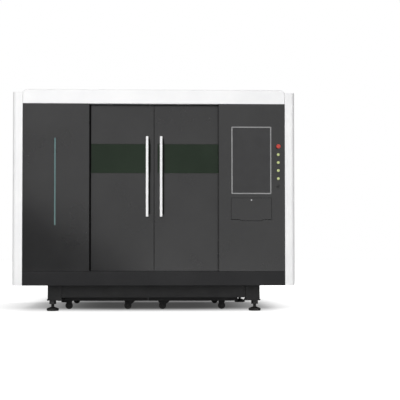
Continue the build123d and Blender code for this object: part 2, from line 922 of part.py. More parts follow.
estop_back = front_y - estop_proud + estop_head
with BuildPart() as estop_button:
    with BuildSketch(Plane((button_x, estop_back, estop_z), x_dir=(1, 0, 0), z_dir=(0, 0, 1))):
        with BuildLine():
            Polyline(
                (0, estop_proud - estop_head + stem_length),
                (stem_diameter / 2, estop_proud - estop_head + stem_length),
                (stem_diameter / 2, 0),
                (estop_diameter / 2, 0),
                (estop_diameter / 2, estop_edge - estop_head),
                (estop_diameter / 2 - estop_crown, estop_crown - estop_head),
                (estop_diameter / 2 - estop_edge, -estop_head),
                (0, -estop_head),
                close=True,
            )
        make_face()
    revolve(axis=Axis((button_x, 0, estop_z), (0, 1, 0)))
save(estop_button, "estop_button")

for number in range(button_count):
    with BuildPart() as push_button:
        with BuildSketch(front_face.offset(cap_proud)):
            with Locations(control_places[number + 1]):
                Circle(cap_diameter / 2)
        extrude(amount=-cap_thickness)
        chamfer(push_button.faces().sort_by(Axis.Y)[0].edges(), cap_edge)
        with BuildSketch(front_face.offset(cap_proud - cap_thickness)):
            with Locations(control_places[number + 1]):
                Circle(stem_diameter / 2)
        extrude(amount=cap_thickness - cap_proud - stem_length)
    save(push_button, f"push_button_{number + 1}")

with BuildPart() as key_switch:
    with BuildSketch(front_face.offset(key_proud)):
        with Locations(control_places[-1]):
            Circle(key_diameter / 2)
    extrude(amount=-key_proud - stem_length)
    with BuildSketch(front_face.offset(key_proud)):
        with Locations(control_places[-1]):
            Rectangle(key_slot_width, key_slot_length)
    extrude(amount=-key_slot_depth, mode=Mode.SUBTRACT)
save(key_switch, "key_switch")

# Keyboard flap: folded tray hinged on a knuckle along its lower edge, with a quarter-turn lock
flap_middle = (monitor_x, (flap_bottom + flap_top) / 2)
flap_face = Plane((monitor_x, front_y, flap_middle[1]), x_dir=(1, 0, 0), z_dir=(0, -1, 0))
flap_tray = folded_panel(flap_face, flap_width, flap_height, flap_depth)
with BuildPart() as keyboard_flap:
    add(flap_tray)
    with BuildSketch(front_face.offset(-sheet)):
        with Locations((monitor_x, flap_bottom)):
            Rectangle(flap_width - 2 * sheet, sheet, align=(Align.CENTER, Align.MIN))
    extrude(amount=sheet - flap_depth, mode=Mode.SUBTRACT)
    with BuildSketch(front_face):
        with Locations((monitor_x, hinge_z)):
            Rectangle(knuckle_length, flap_heel + sheet, align=(Align.CENTER, Align.MIN))
    extrude(amount=-sheet)
    with BuildSketch(ear_plane):
        with Locations((hinge_y, hinge_z)):
            Circle(knuckle_radius)
    extrude(amount=knuckle_length / 2, both=True)
    with BuildSketch(ear_plane):
        with Locations((hinge_y, hinge_z)):
            Circle(hinge_pin_radius + stem_clearance)
    extrude(amount=knuckle_length / 2, both=True, mode=Mode.SUBTRACT)
    with BuildSketch(front_face):
        with Locations((monitor_x, lock_z)):
            Circle(lock_barrel_diameter / 2 + stem_clearance)
    extrude(amount=-sheet, mode=Mode.SUBTRACT)
save(keyboard_flap, "keyboard_flap")

with BuildPart() as flap_lock:
    with BuildSketch(front_face):
        with Locations((monitor_x, lock_z)):
            Circle(lock_head_diameter / 2)
    extrude(amount=lock_proud)
    with BuildSketch(front_face):
        with Locations((monitor_x, lock_z)):
            Circle(lock_barrel_diameter / 2)
    extrude(amount=-lock_length)
    with BuildSketch(front_face.offset(-lock_length)):
        with Locations((monitor_x, lock_z)):
            Rectangle(lock_tongue_reach, lock_tongue_width, align=(Align.MIN, Align.CENTER))
    extrude(amount=lock_tongue_thickness)
    with BuildSketch(front_face.offset(lock_proud)):
        with Locations((monitor_x, lock_z)):
            Rectangle(lock_slot_width, lock_barrel_diameter)
    extrude(amount=-lock_slot_depth, mode=Mode.SUBTRACT)
save(flap_lock, "flap_lock")

# Front sill: folded channel under the panels and doors
with BuildPart() as front_sill:
    with BuildSketch(Plane((0, front_y, shell_bottom), x_dir=(0, 1, 0), z_dir=(1, 0, 0))):
        with BuildLine():
            FilletPolyline(
                (sill_lip, sill_top - shell_bottom - sill_wall / 2),
                (sill_wall / 2, sill_top - shell_bottom - sill_wall / 2),
                (sill_wall / 2, sill_wall / 2),
                (ring_front_y - front_y, sill_wall / 2),
                radius=sill_wall,
            )
        trace(line_width=sill_wall)
    extrude(amount=post_inner, both=True)
save(front_sill, "front_sill")

# Door guides: beam and rail under the header, channel on the base ring
track_half = post_inner - header_shoulder_radius
track_tube = bar(
    -track_half, track_half,
    door_middle_y - track_beam / 2, door_middle_y + track_beam / 2,
    track_bottom, track_bottom + track_beam, track_wall, Axis.X,
)
hang_plane = Plane((0, door_middle_y, track_bottom), x_dir=(0, 1, 0), z_dir=(-1, 0, 0))
track_rail = rail(hang_plane, door_rail_width, door_rail_height, 2 * track_half)
guide_width = door_thickness + 2 * guide_clearance + 2 * guide_wall
with BuildPart() as door_tracks:
    add([track_tube, track_rail])
    with BuildSketch(Plane((0, door_middle_y, ring_top), x_dir=(0, 1, 0), z_dir=(1, 0, 0))):
        Rectangle(guide_width, guide_height, align=(Align.CENTER, Align.MIN))
        with Locations((0, guide_wall)):
            Rectangle(
                guide_width - 2 * guide_wall, guide_height,
                align=(Align.CENTER, Align.MIN), mode=Mode.SUBTRACT,
            )
    extrude(amount=post_inner, both=True)
save(door_tracks, "door_tracks")

# Sliding doors, each a folded tray hung on two bearing blocks, with its window and handle
door_height = door_top - door_bottom
door_width = door_outer_edge - door_gap / 2
door_middle_x = (door_outer_edge + door_gap / 2) / 2
door_middle_z = (door_bottom + door_top) / 2
window_outer_edge = opening_half + window_hidden
window_width = window_outer_edge - window_inner_edge
window_middle_x = (window_outer_edge + window_inner_edge) / 2
window_height = window_top - window_bottom
window_middle_z = (window_top + window_bottom) / 2
handle_middle_y = door_front_y - handle_standoff - handle_depth / 2
handle_middle_z = handle_bottom + handle_length / 2
meeting_bottom = ring_top + guide_height + overrun
hanger_top = track_bottom - door_rail_height * block_skirt_share
hanger_places = (door_gap / 2 + hanger_inset, door_outer_edge - hanger_inset)
door_face = Plane((0, door_front_y, 0), x_dir=(1, 0, 0), z_dir=(0, -1, 0))
for side, name in ((-1, "left"), (1, "right")):
    door_tray = folded_panel(
        Plane((side * door_middle_x, door_front_y, door_middle_z), x_dir=(1, 0, 0), z_dir=(0, -1, 0)),
        door_width, door_height, door_thickness, door_sheet,
    )
    rail_slot = rail_section(hang_plane, door_rail_width, door_rail_height, slide_clearance)
    with BuildPart() as door:
        add(door_tray)
        with BuildSketch(door_face):
            with Locations((side * window_middle_x, window_middle_z)):
                Rectangle(window_width, window_height)
        extrude(amount=-door_sheet, mode=Mode.SUBTRACT)
        with BuildSketch(Plane((0, door_middle_y, door_top))):
            with Locations(*[(side * place, 0) for place in hanger_places]):
                Rectangle(hanger_length, hanger_width)
        extrude(amount=hanger_top - door_top)
        extrude(rail_slot, amount=half_width, both=True, mode=Mode.SUBTRACT)
        if name == "left":
            with BuildSketch(Plane((-door_gap / 2, door_back_y, meeting_bottom))):
                Rectangle(meeting_hold, meeting_clearance + meeting_strip, align=(Align.MAX, Align.MIN))
                with Locations((0, meeting_clearance)):
                    Rectangle(door_gap + meeting_lap, meeting_strip, align=(Align.MIN, Align.MIN))
            extrude(amount=door_top - meeting_bottom)
    save(door, f"door_{name}")

    with BuildPart() as window:
        with BuildSketch(door_face.offset(-door_sheet)):
            with Locations((side * window_middle_x, window_middle_z)):
                Rectangle(window_width + 2 * window_lap, window_height + 2 * window_lap)
        extrude(amount=-window_thickness)
    save(window, f"window_{name}")

    with BuildPart() as handle:
        with BuildSketch(Plane((side * handle_x, handle_middle_y, handle_bottom))):
            RectangleRounded(handle_width, handle_depth, handle_corner)
        extrude(amount=handle_length)
        chamfer(handle.faces().sort_by(Axis.Z)[0].edges(), handle_end_chamfer)
        chamfer(handle.faces().sort_by(Axis.Z)[-1].edges(), handle_end_chamfer)
        with BuildSketch(door_face):
            with Locations((side * handle_x, handle_middle_z)):
                with GridLocations(0, handle_length - 2 * standoff_inset, 1, 2):
                    Circle(standoff_diameter / 2)
        extrude(amount=handle_standoff + handle_depth / 2)
    save(handle, f"handle_{name}")

# Gantry beam, saddles, X guides
beam_tube = bar(
    -leg_outer_x, leg_outer_x, gantry_front_y, gantry_back_y,
    gantry_bottom, gantry_bottom + gantry_height, gantry_wall, Axis.X,
)
with BuildPart() as gantry_beam:
    add(beam_tube)
    with BuildSketch(Plane((0, gantry_back_y, gantry_middle_z), x_dir=(-1, 0, 0), z_dir=(0, 1, 0))):
        with GridLocations(2 * leg_inner_x / gantry_window_count, 0, gantry_window_count, 1):
            SlotOverall(gantry_window_length, gantry_window_height)
    extrude(amount=-gantry_wall, mode=Mode.SUBTRACT)
save(gantry_beam, "gantry_beam")

saddle_pieces = []
block_reach = (saddle_length - block_length) / 2
for side in (-1, 1):
    saddle_pieces.append(
        bar(side * leg_x - leg_size / 2, side * leg_x + leg_size / 2,
            gantry_middle_y - saddle_length / 2, gantry_middle_y + saddle_length / 2,
            saddle_bottom, gantry_bottom)
    )
    saddle_pieces.append(
        bar(side * magnet_x - magnet_width / 2, side * magnet_x + magnet_width / 2,
            gantry_middle_y - saddle_length / 2, gantry_middle_y + saddle_length / 2,
            beam_top + magnet_height + magnet_gap, saddle_bottom)
    )
    for end in (-1, 1):
        seat_y = gantry_middle_y + end * block_reach
        seat = Plane((side * rail_x, seat_y, beam_top), x_dir=(1, 0, 0), z_dir=(0, -1, 0))
        block = bearing_block(seat, rail_width, rail_height, block_width, block_length, block_roof)
        saddle_pieces.append(block)
with BuildPart() as gantry_saddles:
    add(saddle_pieces)
save(gantry_saddles, "gantry_saddles")

x_rail_length = 2 * leg_inner_x - 2 * x_rail_margin
x_rail_planes = [
    Plane((0, gantry_front_y, gantry_middle_z + end * x_rail_spread / 2), x_dir=(0, 0, 1), z_dir=(1, 0, 0))
    for end in (-1, 1)
]
x_rail_bars = [rail(plane, rail_width, rail_height, x_rail_length) for plane in x_rail_planes]
with BuildPart() as x_guides:
    add(x_rail_bars)
    with BuildSketch(Plane((0, gantry_front_y, gantry_middle_z), x_dir=(1, 0, 0), z_dir=(0, -1, 0))):
        Rectangle(x_rail_length, x_magnet_height)
    extrude(amount=magnet_height)
save(x_guides, "x_guides")

# X carriage: plate on four bearing blocks, with the motor coil over the magnet track
carriage_pieces = [
    bar(-carriage_width / 2, carriage_width / 2, carriage_front_y, carriage_back_y,
        carriage_bottom, carriage_bottom + carriage_height),
    bar(-carriage_width / 2, carriage_width / 2, carriage_back_y, gantry_front_y - magnet_height - magnet_gap,
        gantry_middle_z - x_magnet_height / 2, gantry_middle_z + x_magnet_height / 2),
]
for plane in x_rail_planes:
    for end in (-1, 1):
        seat = plane.offset(end * (carriage_width - block_length) / 2)
        block = bearing_block(seat, rail_width, rail_height, block_width, block_length, block_roof)
        carriage_pieces.append(block)
with BuildPart() as x_carriage:
    add(carriage_pieces)
save(x_carriage, "x_carriage")

# Z housing with its rail, motor on top
z_rail_plane = Plane(
    (0, housing_front_y, (housing_bottom + housing_top) / 2), x_dir=(-1, 0, 0), z_dir=(0, 0, 1)
)
z_rail_bar = rail(z_rail_plane, z_rail_width, z_rail_height, housing_height)
with BuildPart() as z_housing:
    with BuildSketch(Plane((0, (carriage_front_y + housing_front_y) / 2, housing_bottom))):
        Rectangle(housing_width, housing_depth)
    extrude(amount=housing_height)
    chamfer(z_housing.edges().filter_by(Axis.Z).group_by(Axis.Y)[0], housing_edge)
    add(z_rail_bar)
save(z_housing, "z_housing")

with BuildPart() as z_motor:
    with BuildSketch(Plane((0, (carriage_front_y + housing_front_y) / 2, housing_top))):
        RectangleRounded(motor_size, motor_size, housing_edge)
    extrude(amount=motor_height)
save(z_motor, "z_motor")

# Cutting head: turned body clamped to a bracket that runs on the Z rail, and its nozzle
head_slot = rail_section(z_rail_plane, z_rail_width, z_rail_height, slide_clearance)
with BuildPart() as laser_head:
    with BuildSketch(Plane((0, housing_front_y - z_rail_height * block_skirt_share, head_bracket_bottom))):
        Rectangle(
            head_bracket_width, head_bracket_depth + z_rail_height * (1 - block_skirt_share),
            align=(Align.CENTER, Align.MAX),
        )
    extrude(amount=head_bracket_height)
    extrude(head_slot, amount=housing_height, both=True, mode=Mode.SUBTRACT)
    with BuildSketch(Plane((0, head_axis_y, nozzle_top_z), x_dir=(1, 0, 0), z_dir=(0, -1, 0))):
        with BuildLine():
            head_shoulder = head_waist_height + head_body_height
            head_neck = head_shoulder + collimator_height
            Polyline(
                (0, 0),
                (nozzle_seat_diameter / 2, 0),
                (head_waist_diameter / 2, head_waist_height / 2),
                (head_waist_diameter / 2, head_waist_height),
                (head_diameter / 2 - head_edge, head_waist_height),
                (head_diameter / 2, head_waist_height + head_edge),
                (head_diameter / 2, head_shoulder - head_edge),
                (head_diameter / 2 - head_edge, head_shoulder),
                (collimator_diameter / 2, head_shoulder),
                (collimator_diameter / 2, head_neck - head_edge),
                (collimator_diameter / 2 - head_edge, head_neck),
                (connector_diameter / 2, head_neck),
                (connector_diameter / 2, head_neck + connector_height),
                (0, head_neck + connector_height),
                close=True,
            )
        make_face()
    revolve(axis=Axis((0, head_axis_y, 0), (0, 0, 1)))
save(laser_head, "laser_head")

with BuildPart() as nozzle:
    with BuildSketch(Plane((0, head_axis_y, nozzle_tip_z), x_dir=(1, 0, 0), z_dir=(0, -1, 0))):
        with BuildLine():
            Polyline(
                (nozzle_bore / 2, 0),
                (nozzle_tip_diameter / 2, 0),
                (nozzle_seat_diameter / 2, nozzle_height / 2),
                (nozzle_seat_diameter / 2, nozzle_height),
                (nozzle_bore / 2, nozzle_height),
                close=True,
            )
        make_face()
    revolve(axis=Axis((0, head_axis_y, 0), (0, 0, 1)))
save(nozzle, "nozzle")


# Castors: a fork hangs from its plate or swivel race, the wheel turns on its axle
def fork(x, y, trail, swivel):
    """Castor fork at a place under a cart; the wheel's middle lies a trail to the left of it."""
    wheel_x = x - trail
    cheek = wheel_width / 2 + fork_gap
    crown = cart_bottom - fork_plate - (swivel_race_height if swivel else 0)
    crown_left = wheel_x - fork_width / 2
    crown_right = x + fork_width / 2
    foot_left = (wheel_x - fork_width / 4, wheel_radius)
    foot_right = (wheel_x + fork_width / 4, wheel_radius)
    with BuildPart() as piece:
        with BuildSketch(Plane((0, y, 0), x_dir=(1, 0, 0), z_dir=(0, -1, 0))):
            with BuildLine():
                Polyline(
                    foot_left,
                    (crown_left, crown),
                    (crown_right, crown),
                    foot_right,
                )
                ThreePointArc(foot_right, (wheel_x, wheel_radius - fork_width / 4), foot_left)
            make_face()
        extrude(amount=cheek + fork_wall, both=True)
        with BuildSketch(Plane((0, y, 0), x_dir=(1, 0, 0), z_dir=(0, -1, 0))):
            with Locations(((crown_left + crown_right) / 2, 0)):
                Rectangle(2 * (crown_right - crown_left), crown, align=(Align.CENTER, Align.MIN))
        extrude(amount=cheek, both=True, mode=Mode.SUBTRACT)
        with BuildSketch(Plane.XY.offset(crown)):
            with Locations(((crown_left + crown_right) / 2, y)):
                Rectangle(crown_right - crown_left, 2 * (cheek + fork_wall))
        extrude(amount=fork_plate)
        with BuildSketch(Plane((0, y, 0), x_dir=(1, 0, 0), z_dir=(0, -1, 0))):
            with Locations((wheel_x, wheel_radius)):
                Circle(axle_diameter / 2)
        extrude(amount=cheek + fork_wall, both=True)
        if swivel:
            with BuildSketch(Plane.XY.offset(crown + fork_plate)):
                with Locations((x, y)):
                    Circle(swivel_race_diameter / 2)
            extrude(amount=swivel_race_height - slide_clearance)
            with BuildSketch(Plane.XY.offset(cart_bottom - slide_clearance)):
                with Locations((x, y)):
                    Circle(swivel_stem_diameter / 2)
            extrude(amount=swivel_stem_height)
    return piece.part


def wheel(x, y):
    """Castor wheel standing on the floor, rolling along X."""
    with BuildPart() as piece:
        with BuildSketch(Plane((x, y, wheel_radius), x_dir=(0, 1, 0), z_dir=(1, 0, 0))):
            with BuildLine():
                Polyline(
                    (0, axle_diameter / 2 + axle_clearance),
                    (wheel_width / 2, axle_diameter / 2 + axle_clearance),
                    (wheel_width / 2, wheel_hub_diameter / 2),
                    (wheel_width / 2 - wheel_hub_recess, wheel_hub_diameter / 2),
                    (wheel_width / 2 - wheel_hub_recess, wheel_radius - wheel_edge),
                    (wheel_width / 2 - wheel_hub_recess - wheel_edge, wheel_radius),
                    (0, wheel_radius),
                    close=True,
                )
            make_face()
            mirror(about=Plane.YZ)
        revolve(axis=Axis((x, y, wheel_radius), (0, 1, 0)))
    return piece.part


# Slag carts: open sheet trays with a folded rim on three sides, on two fixed and two swivelling castors
cart_left_x = {
    "left": cart_pair_offset - cart_gap / 2 - cart_length,
    "right": cart_pair_offset + cart_gap / 2,
}
for name, left_x in cart_left_x.items():
    right_x = left_x + cart_length
    outer_x = left_x if name == "left" else right_x
    fixed_x = left_x + fixed_castor_left_inset if name == "left" else right_x - fixed_castor_right_inset
    swivel_x = right_x - swivel_castor_left_inset if name == "left" else left_x + swivel_castor_right_inset
    middle = ((left_x + right_x) / 2, cart_middle_y)
    tray_shift = cart_rim / 2 if name == "left" else -cart_rim / 2
    tray_middle = (middle[0] + tray_shift, cart_middle_y)
    cart_width = cart_rear_y - cart_front_y
    tray_length = cart_length - cart_rim
    tray_width = cart_width - 2 * cart_rim
    fixed_forks = [fork(fixed_x, y, 0, False) for y in castor_lines]
    with BuildPart() as cart:
        with BuildSketch(Plane.XY.offset(cart_bottom)):
            with Locations(tray_middle):
                Rectangle(tray_length, tray_width)
        extrude(amount=cart_top - cart_bottom)
        with BuildSketch(Plane.XY.offset(cart_top)):
            with Locations(middle):
                Rectangle(cart_length, cart_width)
        extrude(amount=-cart_rim)
        with BuildSketch(Plane.XY.offset(cart_bottom + cart_sheet)):
            with Locations(tray_middle):
                Rectangle(tray_length - 2 * cart_sheet, tray_width - 2 * cart_sheet)
        extrude(amount=cart_top, mode=Mode.SUBTRACT)
        with BuildSketch(Plane.XY.offset(cart_bottom)):
            with Locations(*[(swivel_x, y) for y in castor_lines]):
                Circle(swivel_race_diameter / 2)
        extrude(amount=swivel_stem_height + cart_sheet)
        with BuildSketch(Plane.XY.offset(cart_top - cart_rim)):
            with Locations(middle):
                Rectangle(cart_length - 2 * cart_sheet, cart_width - 2 * cart_sheet)
            with Locations(tray_middle):
                Rectangle(tray_length, tray_width, mode=Mode.SUBTRACT)
        extrude(amount=cart_rim - cart_sheet, mode=Mode.SUBTRACT)
        with BuildSketch(Plane.XY.offset(cart_bottom)):
            with Locations(*[(swivel_x, y) for y in castor_lines]):
                Circle(swivel_stem_diameter / 2 + stem_clearance)
        extrude(amount=swivel_stem_height, mode=Mode.SUBTRACT)
        add(fixed_forks)
        with BuildSketch(Plane((outer_x, cart_middle_y, hand_slot_z), x_dir=(0, 1, 0), z_dir=(1, 0, 0))):
            SlotOverall(hand_slot_length, hand_slot_height)
        extrude(amount=cart_rim + overrun, both=True, mode=Mode.SUBTRACT)
    save(cart, f"{name}_cart")
    for end, y in zip(("front", "rear"), castor_lines):
        rolling = {
            f"{name}_fixed_wheel_{end}": wheel(fixed_x, y),
            f"{name}_swivel_wheel_{end}": wheel(swivel_x - castor_trail, y),
            f"{name}_swivel_fork_{end}": fork(swivel_x, y, castor_trail, True),
        }
        for piece_name, solid in rolling.items():
            with BuildPart() as castor_piece:
                add(solid)
            save(castor_piece, piece_name)
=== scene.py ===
import bmesh
import bpy
import json
import math
from mathutils import Matrix, Vector


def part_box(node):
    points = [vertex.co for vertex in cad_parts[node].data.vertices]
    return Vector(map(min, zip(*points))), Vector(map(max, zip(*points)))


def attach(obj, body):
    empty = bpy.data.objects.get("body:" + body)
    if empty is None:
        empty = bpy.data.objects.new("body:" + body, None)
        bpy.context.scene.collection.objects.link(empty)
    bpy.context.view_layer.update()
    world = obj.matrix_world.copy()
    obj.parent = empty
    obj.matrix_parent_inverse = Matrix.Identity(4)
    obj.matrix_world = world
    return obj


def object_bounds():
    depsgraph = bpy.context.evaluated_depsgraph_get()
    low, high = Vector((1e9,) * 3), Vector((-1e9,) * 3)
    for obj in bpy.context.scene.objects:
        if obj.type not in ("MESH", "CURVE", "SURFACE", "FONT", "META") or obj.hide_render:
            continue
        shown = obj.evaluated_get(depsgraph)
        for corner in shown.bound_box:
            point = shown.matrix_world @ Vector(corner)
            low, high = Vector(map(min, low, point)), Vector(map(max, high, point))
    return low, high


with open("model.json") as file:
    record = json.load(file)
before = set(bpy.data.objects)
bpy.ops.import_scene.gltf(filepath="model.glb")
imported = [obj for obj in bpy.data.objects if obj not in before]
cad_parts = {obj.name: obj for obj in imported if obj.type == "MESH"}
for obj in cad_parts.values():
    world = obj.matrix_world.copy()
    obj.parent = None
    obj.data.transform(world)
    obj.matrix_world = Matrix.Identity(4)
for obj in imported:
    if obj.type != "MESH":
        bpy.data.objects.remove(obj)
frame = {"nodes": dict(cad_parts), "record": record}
cad_low, cad_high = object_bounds()
scene = bpy.context.scene
nodes = frame["nodes"]

# Named values: lengths in metres, the lens in millimetres, powers in watts, angles in radians

# Camera, from the photograph's framing
camera_distance = 9.5
camera_x = -0.045
camera_height = 0.614
camera_lens = 85.9
camera_shift = 0.06
aim_x = 0.218
aim_z = 0.874

# Light and stage
world_white = 1.0
world_fill = 0.98
side_dim = 0.05
side_spread = (0.2, 0.7)
rear_dim = 0.3
rear_spread = (-0.1, 0.6)
key_power = 490
key_width = 0.5
key_height = 5.0
key_place = (-1.9, -10.2, 2.7)
rim_power = 320
rim_size = 3.0
rim_place = (4.5, 5.0, 5.0)
floor_reach = 40
floor_grey = 0.84
floor_lift = 0.72
# Painted shadow on the floor under and round the machine: darker grey and less glow there, fading out to
# the sides, the front and the rear
painted_shadow_grey = 0.3
painted_shadow_lift = 0.06
painted_shadow_side = (0.3, 2.2)
painted_shadow_front = (-1.2, -0.15)
painted_shadow_rear = (1.5, 6.0)
mirror_front = (-4.0, -2.0)
flag_distance = 12
cloth_distance = 5.9
cloth_right = -0.3
cloth_height = 0.003
flag_left = -9.0
flag_top = 5.47
flag_right = -0.26
white = (1, 1, 1, 1)
# Dark of the flag and cloth, seen only in reflections as a painted dark reflection
flag_colour = (0.01, 0.01, 0.01, 1)
floor_rough = 0.9
matt_specular = 0.0

# Surfaces
even_stretch = (1, 1, 1)
ramp_spread = (0.35, 0.65)
cloud_detail = 4.0
grain_detail = 2.0
rough_cloud_ratio = 3
bump_strength = 0.5

# Meshes
round_sides = 24
screw_sides = 12
slot_sides = 32
duct_sides = 64
smooth_angle = math.radians(32)
half_share = 0.5

# Screw heads: radius and height as shares of the head's radius, and the loop's corners, 0 where it is round
button_head_shares = [
    (1, 0, 0), (1, 0.15, 0), (0.92, 0.4, 0), (0.75, 0.56, 0), (0.52, 0.64, 0), (0.4, 0.64, 6),
    (0.4, 0.3, 6),
]
socket_head_shares = [
    (1, 0, 0), (1, 1.1, 0), (0.9, 1.25, 0), (0.62, 1.25, 0), (0.52, 1.25, 6), (0.52, 0.6, 6),
]
hex_head_shares = [(1.5, 0, 0), (1.5, 0.2, 0), (1.42, 0.26, 0), (1, 0.26, 6), (1, 0.9, 6), (0.86, 1.05, 0)]
rivet_head_shares = [(1, 0, 0), (0.95, 0.25, 0), (0.75, 0.45, 0), (0.4, 0.55, 0)]
nipple_shares = [(1.2, 0, 6), (1.2, 0.6, 6), (0.6, 0.6, 0), (0.5, 1.4, 0), (0.75, 1.8, 0), (0.3, 2.3, 0)]
plug_shares = [
    (1, 0, 0), (1, 0.4, 0), (0.86, 0.5, 0), (0.86, 1.6, 0), (0.78, 1.75, 0), (0.6, 1.75, 0), (0.6, 0.9, 0),
]
knob_shares = [(0.5, 0, 0), (0.5, 0.8, 0), (0.9, 0.9, 0), (1, 1.2, 0), (1, 2, 0), (0.85, 2.2, 0)]
fitting_shares = [
    (1, 0, 6), (1, 1.1, 6), (0.7, 1.2, 0), (0.7, 1.7, 0), (0.95, 1.8, 0), (0.95, 2.6, 0), (0.8, 2.8, 0),
    (0.5, 2.8, 0), (0.5, 1.9, 0),
]

# Enclosure fittings
screw_radius = 0.0055
screw_inset = 0.0125
screw_margin = 0.04
screw_rows = 7
roof_columns = 9
rear_sheets = 3
panel_seam = 0.0015
panel_seal_sink = 0.012
panel_seal_proud = 0.01

# Doors
window_lap = 0.012
gasket_width = 0.004
gasket_height = 0.002
door_sheet = 0.0025
standoff_radius = 0.009
standoff_inset = 0.09
rosette_radius = 0.0145
rosette_height = 0.003
handle_depth = 0.024
# Dark matt strip along each handle's right side, short of both ends
strip_half = 0.008
strip_sink = 0.004
strip_proud = 0.015
strip_margin = 0.028
# Dark strip at the left door's seam, a painted shadow of the left panel on the recessed door
seam_shadow_half = 0.012
seam_shadow_proud = 0.012
seam_shadow_gap = 0.0015
seam_shadow_margin = 0.002
nose_steps = 9
stiffener_top = 0.04
stiffener_depth = 0.02
stiffener_brim = 0.015
stiffener_margin = 0.03
stiffener_count = 2

# Light strip and controls
led_flange = 0.008
led_gap = 0.0006
trim_width = 0.004
trim_height = 0.0008
button_count = 4
lens_radius = 0.0115
lens_height = 0.0022
lens_sweep = math.radians(80)
lens_rings = 6
key_gap = 0.0005
key_ring_radius = 0.012
key_ring_height = 0.0012

# Guides
rail_half = 0.014
rail_head = 0.0192
cap_radius = 0.0055
cap_height = 0.00012
cap_pitch = 0.08
cap_margin = 0.03
block_half = 0.035
block_length = 0.11
block_height = 0.0372
seal_edge = 0.0006
seal_gap = 0.0006
seal_corner = 0.003
seal_depth = 0.003
seal_screw = 0.0025
nipple_radius = 0.003

# Gantry and carriage
saddle_half = 0.07
saddle_bolt = 0.008
saddle_bolt_count = 3
carriage_bolt = 0.0065
carriage_bolt_inset = 0.025
carriage_bolt_spread = 0.022
plug_radius = 0.009
plug_inset = 0.017

# Cutting head
head_radius = 0.046
collimator_radius = 0.035
focus_rise = 0.15
focus_height = 0.026
focus_rim = 0.002
focus_edge = 0.002
focus_ribs = 36
focus_rib_rise = 0.0012
rib_points = 4
drawer_rise = 0.11
drawer_width = 0.044
drawer_height = 0.026
drawer_sink = 0.012
drawer_proud = 0.012
drawer_edge = 0.0015
knob_radius = 0.005
fitting_radius = 0.007
fitting_angles = (0, math.pi)
fitting_rises = (0.315, 0.345)
ceramic_rim = 0.0035
ceramic_height = 0.008

# Bed
foot_radius = 0.061
thread_root = 0.0149
thread_crest = 0.0162
thread_pitch = 0.003
thread_bottom = 0.044
thread_top = 0.068
weld_radius = 0.005
weld_pitch = 0.005
weld_sides = 8
weld_waist_share = 0.86

# Carts
fork_reach = 0.005
axle_nut = 0.0085
cart_depth = 0.145
cart_rim = 0.025
castor_bolt = 0.006
castor_bolt_spread = 0.03
hand_slot_z = 0.165
hand_slot_length = 0.15
hand_slot_height = 0.04
edge_trim = 0.004
buffer_proud = 0.0072
buffer_half = 0.012
buffer_inset = 0.045
buffer_bottom = 0.094
buffer_top = 0.236

# Rear services
spigot_radius = 0.1
spigot_flange = 0.004
bead_inset = 0.014
bead_radius = 0.004
bead_steps = 7
rivet_circle = 0.115
rivet_count = 8
rivet_radius = 0.004
inlet_radius = 0.04
collar_radius = 0.05
grommet_reach = 0.008
grommet_lip = 0.0015


def steps(low, high, count):
    """Evenly spaced places from low to high."""
    return [low + (high - low) * place / (count - 1) for place in range(count)]


def round_angles(count):
    """Evenly spaced angles round a full turn."""
    return [2 * math.pi * place / count for place in range(count)]


# Materials
def shader(name, sockets):
    """New material whose Principled shader has these plain socket values."""
    made = bpy.data.materials.new(name)
    made.use_nodes = True
    principled = made.node_tree.nodes["Principled BSDF"]
    for socket, value in sockets.items():
        principled.inputs[socket].default_value = value
    return made, principled


def noise(tree, scale, detail, stretch):
    """Noise over the object's own metres, drawn out along the axes with a small stretch."""
    coords = tree.nodes.new("ShaderNodeTexCoord")
    mapping = tree.nodes.new("ShaderNodeMapping")
    mapping.inputs["Scale"].default_value = stretch
    texture = tree.nodes.new("ShaderNodeTexNoise")
    texture.inputs["Scale"].default_value = scale
    texture.inputs["Detail"].default_value = detail
    tree.links.new(coords.outputs["Object"], mapping.inputs["Vector"])
    tree.links.new(mapping.outputs["Vector"], texture.inputs["Vector"])
    return texture.outputs["Fac"]


def ramp(tree, factor, colours):
    """Colours spread evenly over a factor's middle range."""
    made = tree.nodes.new("ShaderNodeValToRGB")
    stops = made.color_ramp.elements
    for _ in colours[2:]:
        stops.new(half_share)
    for place, position in enumerate(steps(*ramp_spread, len(colours))):
        stops[place].position = position
        stops[place].color = (*colours[place], 1)
    tree.links.new(factor, made.inputs["Fac"])
    return made.outputs["Color"]


def finish(name, colours, rough, cloud, grain, depth, stretch=even_stretch, sockets=None):
    """Surface with clouded colour and roughness and a fine grain in relief."""
    made, principled = shader(name, sockets or {})
    tree = made.node_tree
    clouds = noise(tree, cloud, cloud_detail, stretch)
    tree.links.new(ramp(tree, clouds, colours), principled.inputs["Base Color"])
    spread = tree.nodes.new("ShaderNodeMapRange")
    spread.inputs["To Min"].default_value = rough[0]
    spread.inputs["To Max"].default_value = rough[1]
    rough_clouds = noise(tree, cloud * rough_cloud_ratio, cloud_detail, stretch)
    tree.links.new(rough_clouds, spread.inputs["Value"])
    tree.links.new(spread.outputs["Result"], principled.inputs["Roughness"])
    bump = tree.nodes.new("ShaderNodeBump")
    bump.inputs["Strength"].default_value = bump_strength
    bump.inputs["Distance"].default_value = depth
    tree.links.new(noise(tree, grain, grain_detail, stretch), bump.inputs["Height"])
    tree.links.new(bump.outputs["Normal"], principled.inputs["Normal"])
    return made


